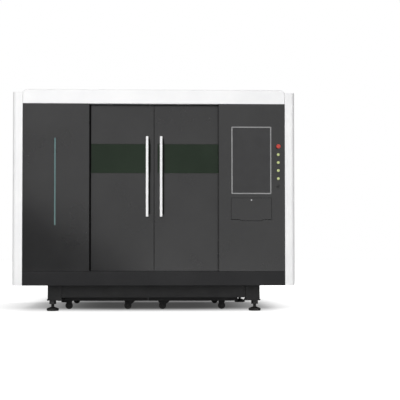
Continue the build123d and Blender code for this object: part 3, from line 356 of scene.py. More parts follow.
metal = {"Metallic": 1.0}
finishes = {
    "white_paint": {
        "colours": [(0.84, 0.84, 0.845), (0.88, 0.88, 0.88)],
        "rough": (0.32, 0.42), "cloud": 3, "grain": 900, "depth": 0.00006,
    },
    "black_paint": {
        "colours": [(0.0145, 0.0145, 0.015), (0.0185, 0.0185, 0.019)],
        "rough": (0.14, 0.17), "cloud": 2.5, "grain": 1100, "depth": 0.00003,
        "sockets": {"Specular IOR Level": 0.54},
    },
    "frame_paint": {
        "colours": [(0.0125, 0.0125, 0.013), (0.0185, 0.0185, 0.019)],
        "rough": (0.45, 0.62), "cloud": 6, "grain": 700, "depth": 0.00012,
        "sockets": {"Specular IOR Level": 0.36},
    },
    "foot_black": {
        "colours": [(0.014, 0.014, 0.014), (0.03, 0.029, 0.028)],
        "rough": (0.4, 0.6), "cloud": 30, "grain": 900, "depth": 0.0001,
    },
    "rail_steel": {
        "colours": [(0.5, 0.51, 0.53), (0.62, 0.63, 0.64)],
        "rough": (0.18, 0.32), "cloud": 40, "grain": 500, "depth": 0.00003,
        "stretch": (0.06, 0.06, 1), "sockets": metal,
    },
    "slat_steel": {
        "colours": [(0.07, 0.055, 0.045), (0.2, 0.17, 0.15), (0.34, 0.33, 0.33)],
        "rough": (0.42, 0.75), "cloud": 22, "grain": 260, "depth": 0.0006, "sockets": metal,
    },
    "zinc_steel": {
        "colours": [(0.42, 0.43, 0.45), (0.55, 0.56, 0.57)],
        "rough": (0.3, 0.5), "cloud": 60, "grain": 400, "depth": 0.00006, "sockets": metal,
    },
    "machined_aluminium": {
        "colours": [(0.56, 0.57, 0.59), (0.68, 0.69, 0.7)],
        "rough": (0.28, 0.42), "cloud": 30, "grain": 700, "depth": 0.00004,
        "stretch": (0.08, 1, 1), "sockets": metal,
    },
    "head_anodised": {
        "colours": [(0.035, 0.035, 0.038), (0.06, 0.06, 0.064)],
        "rough": (0.3, 0.44), "cloud": 50, "grain": 1600, "depth": 0.00004, "sockets": metal,
    },
    "screen_glass": {
        "colours": [(0.016, 0.016, 0.017), (0.02, 0.02, 0.021)],
        "rough": (0.1, 0.2), "cloud": 7, "grain": 40, "depth": 0.00001,
    },
    "bezel_grey": {
        "colours": [(0.25, 0.25, 0.255), (0.3, 0.3, 0.3)],
        "rough": (0.3, 0.4), "cloud": 30, "grain": 900, "depth": 0.00003,
    },
    "black_plastic": {
        "colours": [(0.014, 0.014, 0.014), (0.022, 0.022, 0.022)],
        "rough": (0.4, 0.55), "cloud": 25, "grain": 1800, "depth": 0.00008,
    },
    "red_plastic": {
        "colours": [(0.42, 0.04, 0.028), (0.5, 0.05, 0.035)],
        "rough": (0.2, 0.32), "cloud": 60, "grain": 1500, "depth": 0.00003,
    },
    "green_plastic": {
        "colours": [(0.5, 0.56, 0.24), (0.56, 0.62, 0.29)],
        "rough": (0.16, 0.28), "cloud": 70, "grain": 1500, "depth": 0.00003,
    },
    "window_green": {
        "colours": [(0.006, 0.015, 0.006), (0.009, 0.019, 0.009)],
        "rough": (0.08, 0.16), "cloud": 3, "grain": 30, "depth": 0.00002,
        "sockets": {"Specular IOR Level": 0.24},
    },
    "lock_chrome": {
        "colours": [(0.4, 0.4, 0.41), (0.48, 0.48, 0.48)],
        "rough": (0.08, 0.16), "cloud": 80, "grain": 900, "depth": 0.00002, "sockets": metal,
    },
    "wheel_rubber": {
        "colours": [(0.018, 0.018, 0.018), (0.034, 0.033, 0.032)],
        "rough": (0.55, 0.75), "cloud": 40, "grain": 900, "depth": 0.0001,
    },
    "nozzle_copper": {
        "colours": [(0.62, 0.33, 0.18), (0.74, 0.44, 0.27)],
        "rough": (0.2, 0.36), "cloud": 90, "grain": 1200, "depth": 0.00004,
        "stretch": (1, 1, 0.1), "sockets": metal,
    },
    "light_diffuser": {
        "colours": [(0.085, 0.15, 0.155), (0.105, 0.175, 0.17)],
        "rough": (0.3, 0.42), "cloud": 5, "grain": 900, "depth": 0.00004,
        "sockets": {"Emission Color": (0.35, 0.62, 0.63, 1), "Emission Strength": 0.06},
    },
    "sill_paint": {
        "colours": [(0.016, 0.016, 0.017), (0.021, 0.021, 0.022)],
        "rough": (0.34, 0.42), "cloud": 2.5, "grain": 1100, "depth": 0.00004,
        "sockets": {"Specular IOR Level": 0.2},
    },
    # Very dark matt rubber for the handles' dark strips and for the painted shadow at the left door's seam
    "dark_strip_and_painted_shadow_rubber": {
        "colours": [(0.004, 0.004, 0.004), (0.008, 0.008, 0.008)],
        "rough": (0.75, 0.9), "cloud": 40, "grain": 900, "depth": 0.0001,
        "sockets": {"Specular IOR Level": 0.08},
    },
}
materials = {name: finish(name, **values) for name, values in finishes.items()}

for part in frame["record"]["subparts"]:
    for holder in nodes[part["node"]].material_slots:
        holder.material = materials[part["material_slot"]]
# The front sill takes a duller, less reflective copy of the black paint, so it shows darker than the panels
# above
for holder in nodes["front_sill"].material_slots:
    holder.material = materials["sill_paint"]


# Mesh forms
def loft(form, loops, ring=False):
    """Skin over loops of equally many points, closed at both ends or joined into a ring."""
    rows = [[form.verts.new(point) for point in loop] for loop in loops]
    following = rows[1:] + rows[:1] if ring else rows[1:]
    for lower, upper in zip(rows, following):
        for here in range(len(lower)):
            after = (here + 1) % len(lower)
            form.faces.new((lower[here], lower[after], upper[after], upper[here]))
    if not ring:
        form.faces.new(rows[0])
        form.faces.new(rows[-1])


def facing(point, direction, up=None):
    """Place at a point whose Z axis runs along a direction and whose Y axis points up."""
    z_axis = Vector(direction).normalized()
    y_axis = Vector(up or ((0, 1, 0) if direction[2] else (0, 0, 1)))
    axes = Matrix((y_axis.cross(z_axis), y_axis, z_axis)).transposed()
    return Matrix.Translation(point) @ axes.to_4x4()


def polar(place, reach, angle, height):
    """Point at an angle round the place's Z axis."""
    return place @ Vector((reach * math.cos(angle), reach * math.sin(angle), height))


def turned(form, place, profile, sides=round_sides, ring=False):
    """Turned form from (radius, height, corners) points; corners above 0 make that loop a polygon."""
    loops = []
    for radius, height, corners in profile:
        loop = []
        for angle in round_angles(sides):
            reach = radius
            if corners:
                step = 2 * math.pi / corners
                reach = radius / math.cos(angle % step - step / 2)
            loop.append(polar(place, reach, angle, height))
        loops.append(loop)
    loft(form, loops, ring)


def screw(form, place, radius, head_shares, sides=screw_sides):
    """Screw head or like turned part on the place, its outline given as shares of its radius."""
    profile = [(radius * reach, radius * height, corners) for reach, height, corners in head_shares]
    turned(form, place, profile, sides)


def frame_bead(form, place, half_x, half_y, section):
    """Mitred bead round a rectangle; section points are (outward, height)."""
    loops = []
    for side_x, side_y in ((-1, -1), (1, -1), (1, 1), (-1, 1)):
        loops.append([
            place @ Vector((side_x * (half_x + out), side_y * (half_y + out), height))
            for out, height in section
        ])
    loft(form, loops, True)


def slot_bead(form, place, length, width, section):
    """Bead round a slot with round ends along the place's Y axis; section points are (outward, height)."""
    loops = []
    for side in range(slot_sides):
        angle = 2 * math.pi * (side + half_share) / slot_sides
        shift = math.copysign((length - width) / 2, math.sin(angle))
        loops.append([
            place @ Vector((
                (width / 2 + out) * math.cos(angle), shift + (width / 2 + out) * math.sin(angle), height,
            ))
            for out, height in section
        ])
    loft(form, loops, True)


def prism(form, place, outline, depth):
    """Straight form of an outline, standing on the place."""
    loft(form, [[place @ Vector((x, y, height)) for x, y in outline] for height in (0, depth)])


def nose_strip(form, foot, half, proud, length):
    """Straight strip on the foot with a half-round nose along the foot's Y axis."""
    outline = [
        (half * math.cos(angle), proud * math.sin(angle)) for angle in steps(0, math.pi, nose_steps)
    ]
    prism(form, foot, outline, length)


def knurled(form, place, profile, ribs, rise):
    """Turned ring with straight grip ribs; profile points are (radius, height, share of the rise)."""
    loops = []
    for radius, height, rise_share in profile:
        loop = []
        for side, angle in enumerate(round_angles(rib_points * ribs)):
            reach = radius + (rise * rise_share if side % rib_points < rib_points / 2 else 0)
            loop.append(polar(place, reach, angle, height))
        loops.append(loop)
    loft(form, loops, True)


def weld(form, start, end):
    """Rippled weld bead between two points, half sunk in the corner it fills."""
    along = Vector(end) - Vector(start)
    place = facing(start, along)
    ripples = 2 * round(along.length / weld_pitch)
    loops = []
    for ripple in range(ripples + 1):
        reach = weld_radius * (1 if ripple % 2 else weld_waist_share)
        height = along.length * ripple / ripples
        loops.append([polar(place, reach, angle, height) for angle in round_angles(weld_sides)])
    loft(form, loops)


def piece(name, body, slot, build, paint=None):
    """Object on a body, its mesh filled by a building function, in its slot's finish or another paint."""
    form = bmesh.new()
    build(form)
    bmesh.ops.recalc_face_normals(form, faces=form.faces)
    mesh = bpy.data.meshes.new(name)
    form.to_mesh(mesh)
    form.free()
    mesh.polygons.foreach_set("use_smooth", [True] * len(mesh.polygons))
    mesh.set_sharp_from_angle(angle=smooth_angle)
    mesh.materials.append(materials[paint or slot])
    made = bpy.data.objects.new(name, mesh)
    scene.collection.objects.link(made)
    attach(made, body)
    return made


def middle(node):
    """Middle of a CAD node's box."""
    low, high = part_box(node)
    return (low + high) / 2


def front_seat(node, y):
    """Place at a depth that faces the front, in the middle of a CAD node's box."""
    centre = middle(node)
    return facing((centre.x, y, centre.z), (0, -1, 0))


# Places shared by the pieces
front_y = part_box("front_panel_left")[0].y
door_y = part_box("handle_left")[1].y
rear_skin_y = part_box("rear_posts")[1].y
roof_skin_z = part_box("front_posts")[1].z
side_low, side_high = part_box("side_panels")
rear_low, rear_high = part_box("rear_panels")
roof_low, roof_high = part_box("roof_panel")
saddle_low, saddle_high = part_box("gantry_saddles")
beam_low, beam_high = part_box("gantry_beam")
carriage_low, carriage_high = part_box("x_carriage")
y_rail_low, y_rail_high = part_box("y_guides")
x_rail_low, x_rail_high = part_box("x_guides")
y_rail_middles = (y_rail_low.x + rail_half, y_rail_high.x - rail_half)
x_rail_middles = (x_rail_low.z + rail_half, x_rail_high.z - rail_half)
nozzle_low, nozzle_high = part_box("nozzle")
head_axis = middle("nozzle")
mounts = {mount["name"]: Vector(mount["pos_m"]) for mount in frame["record"]["mounts"]}
duct = mounts["extraction"]
inlet = mounts["cable_inlet"]


# Screws that hold the enclosure's panels, rubber seals in the seams between them
def side_screws(form):
    seam = (side_low.y + side_high.y) / 2
    columns = (
        side_low.y + screw_inset, seam - screw_inset, seam + screw_inset, side_high.y - screw_inset,
    )
    for direction, face in ((-1, side_low.x), (1, side_high.x)):
        for y in columns:
            for z in steps(side_low.z + screw_margin, side_high.z - screw_margin, screw_rows):
                screw(form, facing((face, y, z), (direction, 0, 0)), screw_radius, button_head_shares)


def rear_screws(form):
    width = (rear_high.x - rear_low.x) / rear_sheets
    for sheet in range(rear_sheets):
        left = rear_low.x + sheet * width
        for x in (left + screw_inset, left + width - screw_inset):
            for z in steps(rear_low.z + screw_margin, rear_high.z - screw_margin, screw_rows):
                screw(form, facing((x, rear_skin_y, z), (0, 1, 0)), screw_radius, button_head_shares)


def roof_screws(form):
    for x in steps(roof_low.x + screw_margin, roof_high.x - screw_margin, roof_columns):
        for y in (roof_low.y + screw_inset, roof_high.y - screw_inset):
            screw(form, facing((x, y, roof_skin_z), (0, 0, 1)), screw_radius, button_head_shares)


def panel_seals(form):
    rear_seam = (rear_high.x - rear_low.x + panel_seam) / rear_sheets / 2
    middle_y = (side_low.y + side_high.y) / 2
    places = [((x, rear_skin_y - panel_seal_sink), (0, 1, 0)) for x in (-rear_seam, rear_seam)]
    for y in (side_low.y - panel_seam / 2, middle_y, side_high.y + panel_seam / 2):
        places.append(((side_low.x + panel_seal_sink, y), (-1, 0, 0)))
        places.append(((side_high.x - panel_seal_sink, y), (1, 0, 0)))
    for root, outward in places:
        foot = facing((*root, side_low.z), (0, 0, 1), outward)
        nose_strip(form, foot, panel_seam / 2, panel_seal_proud, side_high.z - side_low.z)


piece("panel_seals", "machine", "wheel_rubber", panel_seals)
piece("side_screws", "machine", "black_plastic", side_screws)
piece("rear_screws", "machine", "black_plastic", rear_screws)
piece("roof_screws", "machine", "zinc_steel", roof_screws)


# Doors: window gaskets, handle rosettes and dark strips, stiffeners behind the skin, and a dark strip at
# the left door's seam as painted shadow
def window_gasket(side):
    low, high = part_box(f"window_{side}")
    place = front_seat(f"window_{side}", low.y)
    half_x = (high.x - low.x) / 2 - window_lap - gasket_width
    half_z = (high.z - low.z) / 2 - window_lap - gasket_width
    section = [(0, 0), (gasket_width, 0), (gasket_width, gasket_height), (gasket_width / 2, gasket_height)]
    return lambda form: frame_bead(form, place, half_x, half_z, section)


def handle_rosettes(side):
    low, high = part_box(f"handle_{side}")
    x = middle(f"handle_{side}").x
    profile = [
        (standoff_radius, 0, 0), (rosette_radius, 0, 0), (rosette_radius, rosette_height / 2, 0),
        (rosette_radius - rosette_height / 2, rosette_height, 0), (standoff_radius, rosette_height, 0),
    ]

    def build(form):
        for z in (low.z + standoff_inset, high.z - standoff_inset):
            turned(form, facing((x, door_y, z), (0, -1, 0)), profile, round_sides, True)

    return build


# Dark matt strip along the handle's right side, short of both ends
def handle_dark_strip(side):
    low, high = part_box(f"handle_{side}")
    root = (high.x - strip_sink, low.y + handle_depth / 2, low.z + strip_margin)
    length = high.z - low.z - 2 * strip_margin
    foot = facing(root, (0, 0, 1), (1, 0, 0))
    return lambda form: nose_strip(form, foot, strip_half, strip_sink + strip_proud, length)


# Dark matt strip on the left front panel's edge: painted shadow of the panel on the recessed left door
def left_seam_painted_shadow(form):
    low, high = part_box("front_panel_left")
    root = (high.x, door_y - seam_shadow_gap - seam_shadow_half, low.z + seam_shadow_margin)
    length = high.z - low.z - 2 * seam_shadow_margin
    nose_strip(form, facing(root, (0, 0, 1), (1, 0, 0)), seam_shadow_half, seam_shadow_proud, length)


def door_stiffeners(side):
    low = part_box(f"door_{side}")[0]
    glass_low, glass_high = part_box(f"window_{side}")
    skin_y = door_y + door_sheet
    brim = stiffener_top / 2 + stiffener_depth / 2
    outline = [
        (-brim - stiffener_brim, 0), (-brim - stiffener_brim, -door_sheet), (-brim, -door_sheet),
        (-stiffener_top / 2, -stiffener_depth), (stiffener_top / 2, -stiffener_depth),
        (brim, -door_sheet), (brim + stiffener_brim, -door_sheet), (brim + stiffener_brim, 0),
    ]

    def build(form):
        for x in steps(glass_low.x, glass_high.x, stiffener_count + 2)[1:-1]:
            foot = facing((x, skin_y, low.z + stiffener_margin), (0, 0, 1), (0, -1, 0))
            prism(form, foot, outline, glass_low.z - low.z - 2 * stiffener_margin)

    return build


for side in ("left", "right"):
    body = f"{side}_door"
    piece(f"window_gasket_{side}", body, "wheel_rubber", window_gasket(side))
    piece(f"handle_rosettes_{side}", body, "white_paint", handle_rosettes(side))
    piece(f"handle_dark_strip_{side}", body, "wheel_rubber", handle_dark_strip(side), "dark_strip_and_painted_shadow_rubber")
    piece(f"door_stiffeners_{side}", body, "black_paint", door_stiffeners(side))
# Painted shadow strip at the left door's seam
piece("left_seam_painted_shadow", "machine", "wheel_rubber", left_seam_painted_shadow, "dark_strip_and_painted_shadow_rubber")


# Light strip's trim and the control panel's small parts
def led_trim(form):
    low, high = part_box("led_strip")
    place = front_seat("led_strip", front_y)
    section = [(0, 0), (trim_width, 0), (trim_width - trim_height, trim_height), (0, trim_height)]
    length = high.z - low.z - 2 * led_flange
    slot_bead(form, place, length + 2 * led_gap, high.x - low.x - 2 * led_flange + 2 * led_gap, section)


def button_lens(number):
    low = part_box(f"push_button_{number}")[0]
    place = front_seat(f"push_button_{number}", low.y)
    rings = [
        (lens_radius * math.cos(angle), lens_height * math.sin(angle), 0)
        for angle in steps(0, lens_sweep, lens_rings)
    ]
    return lambda form: turned(form, place, rings)


def key_ring(form):
    low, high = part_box("key_switch")
    place = front_seat("key_switch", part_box("button_collars")[0].y)
    inner = (high.x - low.x) / 2 + key_gap
    profile = [
        (inner, 0, 0), (key_ring_radius, 0, 0), (key_ring_radius - key_ring_height, key_ring_height, 0),
        (inner, key_ring_height, 0),
    ]
    turned(form, place, profile, round_sides, True)


piece("led_trim", "machine", "black_plastic", led_trim)
piece("key_ring", "machine", "foot_black", key_ring)
for number in range(1, button_count + 1):
    piece(f"button_lens_{number}", f"button_{number}", "green_plastic", button_lens(number))


# Guide rails' bolt caps and the bearing blocks' end seals
def cap_places(low, high):
    return steps(low + cap_margin, high - cap_margin, 1 + round((high - low - 2 * cap_margin) / cap_pitch))


def rail_cap(form, place):
    edge = cap_height / 2
    profile = [(cap_radius, 0, 0), (cap_radius, edge, 0), (cap_radius - edge, cap_height, 0)]
    turned(form, place, profile, screw_sides)


def y_rail_caps(form):
    for x in y_rail_middles:
        for y in cap_places(y_rail_low.y, y_rail_high.y):
            rail_cap(form, facing((x, y, y_rail_high.z), (0, 0, 1)))


def x_rail_caps(form):
    for z in x_rail_middles:
        for x in cap_places(x_rail_low.x, x_rail_high.x):
            rail_cap(form, facing((x, x_rail_low.y, z), (0, -1, 0)))


def end_seal(form, place):
    """Seal plate on a bearing block's end, open over the rail, with two screws and a grease nipple."""
    opening = rail_half + seal_gap
    half = block_half - seal_edge
    top = block_height - seal_edge
    outline = [
        (-half, seal_edge), (-opening, seal_edge), (-opening, rail_head + seal_gap),
        (opening, rail_head + seal_gap), (opening, seal_edge), (half, seal_edge),
        (half, top - seal_corner), (half - seal_corner, top), (seal_corner - half, top),
        (-half, top - seal_corner),
    ]
    prism(form, place, outline, seal_depth)
    high_line = (top + rail_head) / 2
    for x in (-half + seal_corner * 2, half - seal_corner * 2):
        screw(form, place @ Matrix.Translation((x, high_line, seal_depth)), seal_screw, button_head_shares)
    screw(form, place @ Matrix.Translation((0, high_line, seal_depth)), nipple_radius, nipple_shares)


def saddle_seals(form):
    for x in y_rail_middles:
        for y, direction in (
            (saddle_low.y, -1), (saddle_low.y + block_length, 1),
            (saddle_high.y - block_length, -1), (saddle_high.y, 1),
        ):
            end_seal(form, facing((x, y, saddle_low.z), (0, direction, 0)))


def carriage_seals(form):
    for z in x_rail_middles:
        for x, direction in ((carriage_low.x, -1), (carriage_high.x, 1)):
            end_seal(form, facing((x, carriage_high.y, z), (direction, 0, 0), (0, -1, 0)))


piece("y_rail_caps", "machine", "zinc_steel", y_rail_caps)
piece("x_rail_caps", "gantry", "zinc_steel", x_rail_caps)
piece("saddle_seals", "gantry", "black_plastic", saddle_seals)
piece("carriage_seals", "carriage", "black_plastic", carriage_seals)


# Bolts of the gantry and the carriage
def saddle_bolts(form):
    for side in (-1, 1):
        post_x = side * (beam_high.x - saddle_half)
        for y in ((saddle_low.y + beam_low.y) / 2, (saddle_high.y + beam_high.y) / 2):
            for x in steps(post_x - saddle_half / 2, post_x + saddle_half / 2, saddle_bolt_count):
                screw(form, facing((x, y, saddle_high.z), (0, 0, 1)), saddle_bolt, socket_head_shares)


def carriage_bolts(form):
    for x in (carriage_low.x + carriage_bolt_inset, carriage_high.x - carriage_bolt_inset):
        for rail_z in x_rail_middles:
            for z in (rail_z - carriage_bolt_spread, rail_z + carriage_bolt_spread):
                screw(form, facing((x, carriage_low.y, z), (0, -1, 0)), carriage_bolt, socket_head_shares)


def motor_plugs(form):
    low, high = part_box("z_motor")
    for y in steps(low.y + plug_inset, high.y - plug_inset, 2):
        seat = facing((high.x, y, high.z - plug_inset), (1, 0, 0))
        screw(form, seat, plug_radius, plug_shares, round_sides)


piece("saddle_bolts", "gantry", "black_plastic", saddle_bolts)
piece("carriage_bolts", "carriage", "black_plastic", carriage_bolts)
piece("motor_plugs", "carriage", "zinc_steel", motor_plugs)


# Cutting head: focus ring, window drawer, gas and water fittings, ceramic ring
def on_head_axis(rise):
    """Point on the head's axis, this far above the nozzle's top."""
    return Vector((head_axis.x, head_axis.y, nozzle_high.z + rise))


def focus_ring(form):
    place = facing(on_head_axis(focus_rise), (0, 0, 1))
    profile = [
        (head_radius, 0, 0), (head_radius + focus_rim, 0, 0), (head_radius + focus_rim, focus_edge, 1),
        (head_radius + focus_rim, focus_height - focus_edge, 1), (head_radius + focus_rim, focus_height, 0),
        (head_radius, focus_height, 0),
    ]
    knurled(form, place, profile, focus_ribs, focus_rib_rise)


def window_drawer(form):
    seat = on_head_axis(drawer_rise) + Vector((0, drawer_sink - head_radius, 0))
    place = facing(seat, (0, -1, 0))
    reach = drawer_sink + drawer_proud
    loops = []
    for inset, height in ((0, 0), (0, reach - drawer_edge), (drawer_edge, reach)):
        half_x = drawer_width / 2 - inset
        half_z = drawer_height / 2 - inset
        corners = ((-half_x, -half_z), (half_x, -half_z), (half_x, half_z), (-half_x, half_z))
        loops.append([place @ Vector((x, z, height)) for x, z in corners])
    loft(form, loops)
    screw(form, place @ Matrix.Translation((0, 0, reach)), knob_radius, knob_shares, round_sides)


def head_fittings(form):
    for angle in fitting_angles:
        direction = Vector((math.cos(angle), math.sin(angle), 0))
        for rise in fitting_rises:
            root = on_head_axis(rise) + direction * collimator_radius
            screw(form, facing(root, direction), fitting_radius, fitting_shares, round_sides)


def ceramic_ring(form):
    place = facing(on_head_axis(-ceramic_height / 2), (0, 0, 1))
    inner = (nozzle_high.x - nozzle_low.x) / 2
    outer = inner + ceramic_rim
    profile = [(inner, 0, 0), (outer, 0, 0), (outer, ceramic_height, 0), (inner, ceramic_height, 0)]
    turned(form, place, profile, round_sides, True)


piece("focus_ring", "head", "machined_aluminium", focus_ring)
piece("window_drawer", "head", "machined_aluminium", window_drawer)
piece("head_fittings", "head", "zinc_steel", head_fittings)
piece("ceramic_ring", "head", "white_paint", ceramic_ring)


# Bed: threads on the levelling feet, welds at the lower beams
def foot_threads(form):
    low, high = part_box("levelling_feet")
    turns = round((thread_top - thread_bottom) / thread_pitch)
    profile = []
    for turn in range(turns):
        height = thread_bottom + turn * thread_pitch
        profile.append((thread_root, height, 0))
        profile.append((thread_crest, height + thread_pitch / 2, 0))
    for x in (low.x + foot_radius, high.x - foot_radius):
        for y in (low.y + foot_radius, high.y - foot_radius):
            turned(form, facing((x, y, 0), (0, 0, 1)), profile)


def bed_welds(form):
    low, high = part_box("bed_cross_beams")
    shell_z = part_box("front_sill")[0].z
    for x in (low.x, high.x):
        for y in (low.y, high.y):
            weld(form, (x, y, low.z + weld_radius), (x, y, shell_z))


piece("foot_threads", "machine", "foot_black", foot_threads)
piece("bed_welds", "machine", "frame_paint", bed_welds)


# Carts: axle nuts on the castors, castor bolts in the trays, edge trim round the hand slots, rubber buffers
def axle_nuts(wheel):
    low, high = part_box(wheel)
    axle = middle(wheel)

    def build(form):
        for y, direction in ((low.y - fork_reach, -1), (high.y + fork_reach, 1)):
            screw(form, facing((axle.x, y, axle.z), (0, direction, 0)), axle_nut, hex_head_shares)

    return build


def castor_bolts(side):
    floor_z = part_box(f"{side}_cart")[1].z - cart_depth

    def build(form):
        for end in ("front", "rear"):
            wheel = middle(f"{side}_fixed_wheel_{end}")
            for x in (wheel.x - castor_bolt_spread, wheel.x + castor_bolt_spread):
                for y in (wheel.y - castor_bolt_spread, wheel.y + castor_bolt_spread):
                    screw(form, facing((x, y, floor_z), (0, 0, 1)), castor_bolt, hex_head_shares)

    return build


def hand_slot_trim(side):
    low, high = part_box(f"{side}_cart")
    direction = -1 if side == "left" else 1
    wall_x = low.x + cart_rim if side == "left" else high.x - cart_rim
    middle_y = middle(f"{side}_cart").y
    place = facing((wall_x, middle_y, hand_slot_z), (direction, 0, 0), (0, 1, 0))
    section = [
        (-trim_height, 0), (edge_trim, 0), (edge_trim, trim_height), (edge_trim / 2, 2 * trim_height),
        (-trim_height, 2 * trim_height),
    ]
    return lambda form: slot_bead(form, place, hand_slot_length, hand_slot_height, section)


def cart_buffers(form):
    low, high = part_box("left_cart")
    for y in (low.y + buffer_inset, high.y - buffer_inset):
        foot = facing((high.x, y, buffer_bottom), (0, 0, 1), (1, 0, 0))
        nose_strip(form, foot, buffer_half, buffer_proud, buffer_top - buffer_bottom)


piece("cart_buffers", "left_cart", "wheel_rubber", cart_buffers)
for side in ("left", "right"):
    piece(f"castor_bolts_{side}", f"{side}_cart", "zinc_steel", castor_bolts(side))
    piece(f"hand_slot_trim_{side}", f"{side}_cart", "wheel_rubber", hand_slot_trim(side))
    for end in ("front", "rear"):
        fixed = f"{side}_fixed_wheel_{end}"
        swivel = f"{side}_swivel_wheel_{end}"
        piece(f"axle_nuts_{fixed}", f"{side}_cart", "foot_black", axle_nuts(fixed))
        piece(f"axle_nuts_{swivel}", f"{side}_swivel_fork_{end}", "foot_black", axle_nuts(swivel))


# Rear services: rolled bead and rivets of the duct, grommet of the cable inlet
def spigot_bead(form):
    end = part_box("extraction_spigot")[1].y
    place = facing((duct.x, end - bead_inset, duct.z), (0, 1, 0))
    profile = [
        (spigot_radius + bead_radius * math.sin(angle), -bead_radius * math.cos(angle), 0)
        for angle in steps(0, math.pi, bead_steps)
    ]
    turned(form, place, profile, duct_sides, True)


def spigot_rivets(form):
    face = rear_skin_y + spigot_flange
    for angle in round_angles(rivet_count):
        x = duct.x + rivet_circle * math.cos(angle)
        z = duct.z + rivet_circle * math.sin(angle)
        screw(form, facing((x, face, z), (0, 1, 0)), rivet_radius, rivet_head_shares)


def inlet_grommet(form):
    place = facing((inlet.x, rear_high.y, inlet.z), (0, 1, 0))
    profile = [
        (inlet_radius, -grommet_reach, 0), (inlet_radius, grommet_lip, 0),
        (inlet_radius + grommet_lip, 2 * grommet_lip, 0), (collar_radius - grommet_lip, 2 * grommet_lip, 0),
        (collar_radius, grommet_lip, 0), (collar_radius, 0, 0),
    ]
    turned(form, place, profile, duct_sides, True)


piece("spigot_bead", "machine", "zinc_steel", spigot_bead)
piece("spigot_rivets", "machine", "zinc_steel", spigot_rivets)
piece("inlet_grommet", "machine", "wheel_rubber", inlet_grommet)

# Camera at the photograph's angle
camera_data = bpy.data.cameras.new("camera")
camera_data.lens = camera_lens
camera_data.shift_x = camera_shift
camera_data.shift_y = camera_shift
camera = bpy.data.objects.new("camera", camera_data)
scene.collection.objects.link(camera)
camera.location = (camera_x, front_y - camera_distance, camera_height)
sight = Vector((aim_x, front_y, aim_z)) - camera.location
camera.rotation_euler = sight.to_track_quat("-Z", "Y").to_euler()
scene.camera = camera


# World: white where it is seen, a dimmer fill light elsewhere that falls off to the sides and the rear
def fade(tree, value, spread, start, end):
    """Level carried smoothly from start to end while a value crosses a spread."""
    made = tree.nodes.new("ShaderNodeMapRange")
    made.interpolation_type = "SMOOTHSTEP"
    made.inputs["From Min"].default_value = spread[0]
    made.inputs["From Max"].default_value = spread[1]
    made.inputs["To Min"].default_value = start
    made.inputs["To Max"].default_value = end
    tree.links.new(value, made.inputs["Value"])
    return made.outputs["Result"]


def calculate(tree, operation, *levels):
    """Level worked out from one or two others."""
    made = tree.nodes.new("ShaderNodeMath")
    made.operation = operation
    for socket, level in zip(made.inputs, levels):
        tree.links.new(level, socket)
    return made.outputs["Value"]


def place_axes(tree, source):
    """Places along X, Y and Z in one kind of coordinates."""
    coords = tree.nodes.new("ShaderNodeTexCoord")
    split = tree.nodes.new("ShaderNodeSeparateXYZ")
    tree.links.new(coords.outputs[source], split.inputs["Vector"])
    return split.outputs


world = bpy.data.worlds.new("studio")
scene.world = world
world.use_nodes = True
sky = world.node_tree
background = sky.nodes["Background"]
path = sky.nodes.new("ShaderNodeLightPath")
bearing = place_axes(sky, "Generated")
aside = calculate(sky, "ABSOLUTE", bearing["X"])
mirrored = fade(sky, path.outputs["Is Glossy Ray"], (0, 1), world_fill, world_white)
side_level = fade(sky, aside, side_spread, 1, side_dim)
rear_level = fade(sky, bearing["Y"], rear_spread, 1, rear_dim)
round_level = calculate(sky, "MULTIPLY", side_level, rear_level)
level = calculate(sky, "MULTIPLY", mirrored, round_level)
seen = sky.nodes.new("ShaderNodeMapRange")
seen.inputs["To Max"].default_value = world_white
sky.links.new(path.outputs["Is Camera Ray"], seen.inputs["Value"])
sky.links.new(level, seen.inputs["To Min"])
sky.links.new(seen.outputs["Result"], background.inputs["Strength"])
background.inputs["Color"].default_value = white


# Lamps: a tall narrow key from the front left and a weak light from behind
def lamp(name, place, power, width, height):
    """Soft rectangular light aimed at the middle of the object."""
    data = bpy.data.lights.new(name, "AREA")
    data.shape = "RECTANGLE"
    data.energy = power
    data.size = width
    data.size_y = height
    made = bpy.data.objects.new(name, data)
    scene.collection.objects.link(made)
    made.location = place
    target = (cad_low + cad_high) / 2
    made.rotation_euler = (target - made.location).to_track_quat("-Z", "Y").to_euler()
    made.visible_camera = False
    made.visible_glossy = False


lamp("key", key_place, key_power, key_width, key_height)
lamp("rim", rim_place, rim_power, rim_size, rim_size)


# Floor with a painted shadow, darker grey and with less glow under and round the machine, and a dark flag
# and cloth before the machine that its paint mirrors
def sheet_object(name, corners, material):
    """Flat stage piece through these corners."""
    mesh = bpy.data.meshes.new(name)
    mesh.from_pydata(corners, [], [tuple(range(len(corners)))])
    mesh.materials.append(material)
    made = bpy.data.objects.new(name, mesh)
    scene.collection.objects.link(made)
    return made


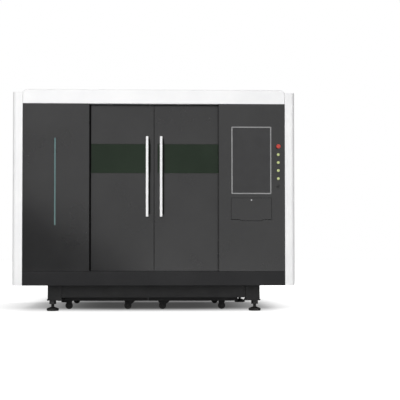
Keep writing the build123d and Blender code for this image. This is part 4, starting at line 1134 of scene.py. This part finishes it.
floor_paint, floor_shader = shader(
    "floor", {"Roughness": floor_rough, "Specular IOR Level": matt_specular, "Emission Color": white}
)
floor_tree = floor_paint.node_tree
floor_axes = place_axes(floor_tree, "Object")
# The floor's colour and glow are darkened under and round the machine as a painted shadow
floor_aside = calculate(floor_tree, "ABSOLUTE", floor_axes["X"])
side_painted_shadow = fade(floor_tree, floor_aside, painted_shadow_side, 1, 0)
front_painted_shadow = fade(floor_tree, floor_axes["Y"], painted_shadow_front, 0, 1)
rear_painted_shadow = fade(floor_tree, floor_axes["Y"], painted_shadow_rear, 1, 0)
depth_painted_shadow = calculate(floor_tree, "MULTIPLY", front_painted_shadow, rear_painted_shadow)
painted_shadow = calculate(floor_tree, "MULTIPLY", side_painted_shadow, depth_painted_shadow)
floor_colour_with_painted_shadow = fade(floor_tree, painted_shadow, (0, 1), floor_grey, painted_shadow_grey)
floor_tree.links.new(floor_colour_with_painted_shadow, floor_shader.inputs["Base Color"])
floor_glow_with_painted_shadow = fade(floor_tree, painted_shadow, (0, 1), floor_lift, painted_shadow_lift)
floor_path = floor_tree.nodes.new("ShaderNodeLightPath")
front_mirror = fade(floor_tree, floor_axes["Y"], mirror_front, 1, 0)
floor_mirrored = calculate(floor_tree, "MULTIPLY", floor_path.outputs["Is Glossy Ray"], front_mirror)
floor_shown = calculate(floor_tree, "MAXIMUM", floor_path.outputs["Is Camera Ray"], floor_mirrored)
floor_seen = calculate(floor_tree, "MULTIPLY", floor_glow_with_painted_shadow, floor_shown)
floor_tree.links.new(floor_seen, floor_shader.inputs["Emission Strength"])
sheet_object(
    "floor",
    [(-floor_reach, -floor_reach, 0), (floor_reach, -floor_reach, 0),
     (floor_reach, floor_reach, 0), (-floor_reach, floor_reach, 0)],
    floor_paint,
)

flag_y = front_y - flag_distance
cloth_y = front_y - cloth_distance
flag_paint = shader("flag", {"Base Color": flag_colour, "Specular IOR Level": matt_specular})[0]
flag = sheet_object(
    "flag", [(flag_left, flag_y, 0), (flag_left, flag_y, flag_top), (flag_right, flag_y, 0)], flag_paint
)
cloth = sheet_object(
    "cloth",
    [(flag_left, flag_y, cloth_height), (flag_right, flag_y, cloth_height),
     (cloth_right, cloth_y, cloth_height), (flag_left, cloth_y, cloth_height)],
    flag_paint,
)
# The flag and cloth are seen only in reflections: a painted dark reflection on the lower left of the front
# paint
for dark in (flag, cloth):
    dark.visible_camera = False
    dark.visible_diffuse = False
    dark.visible_shadow = False

# Plain view transform
scene.view_settings.view_transform = "Standard"
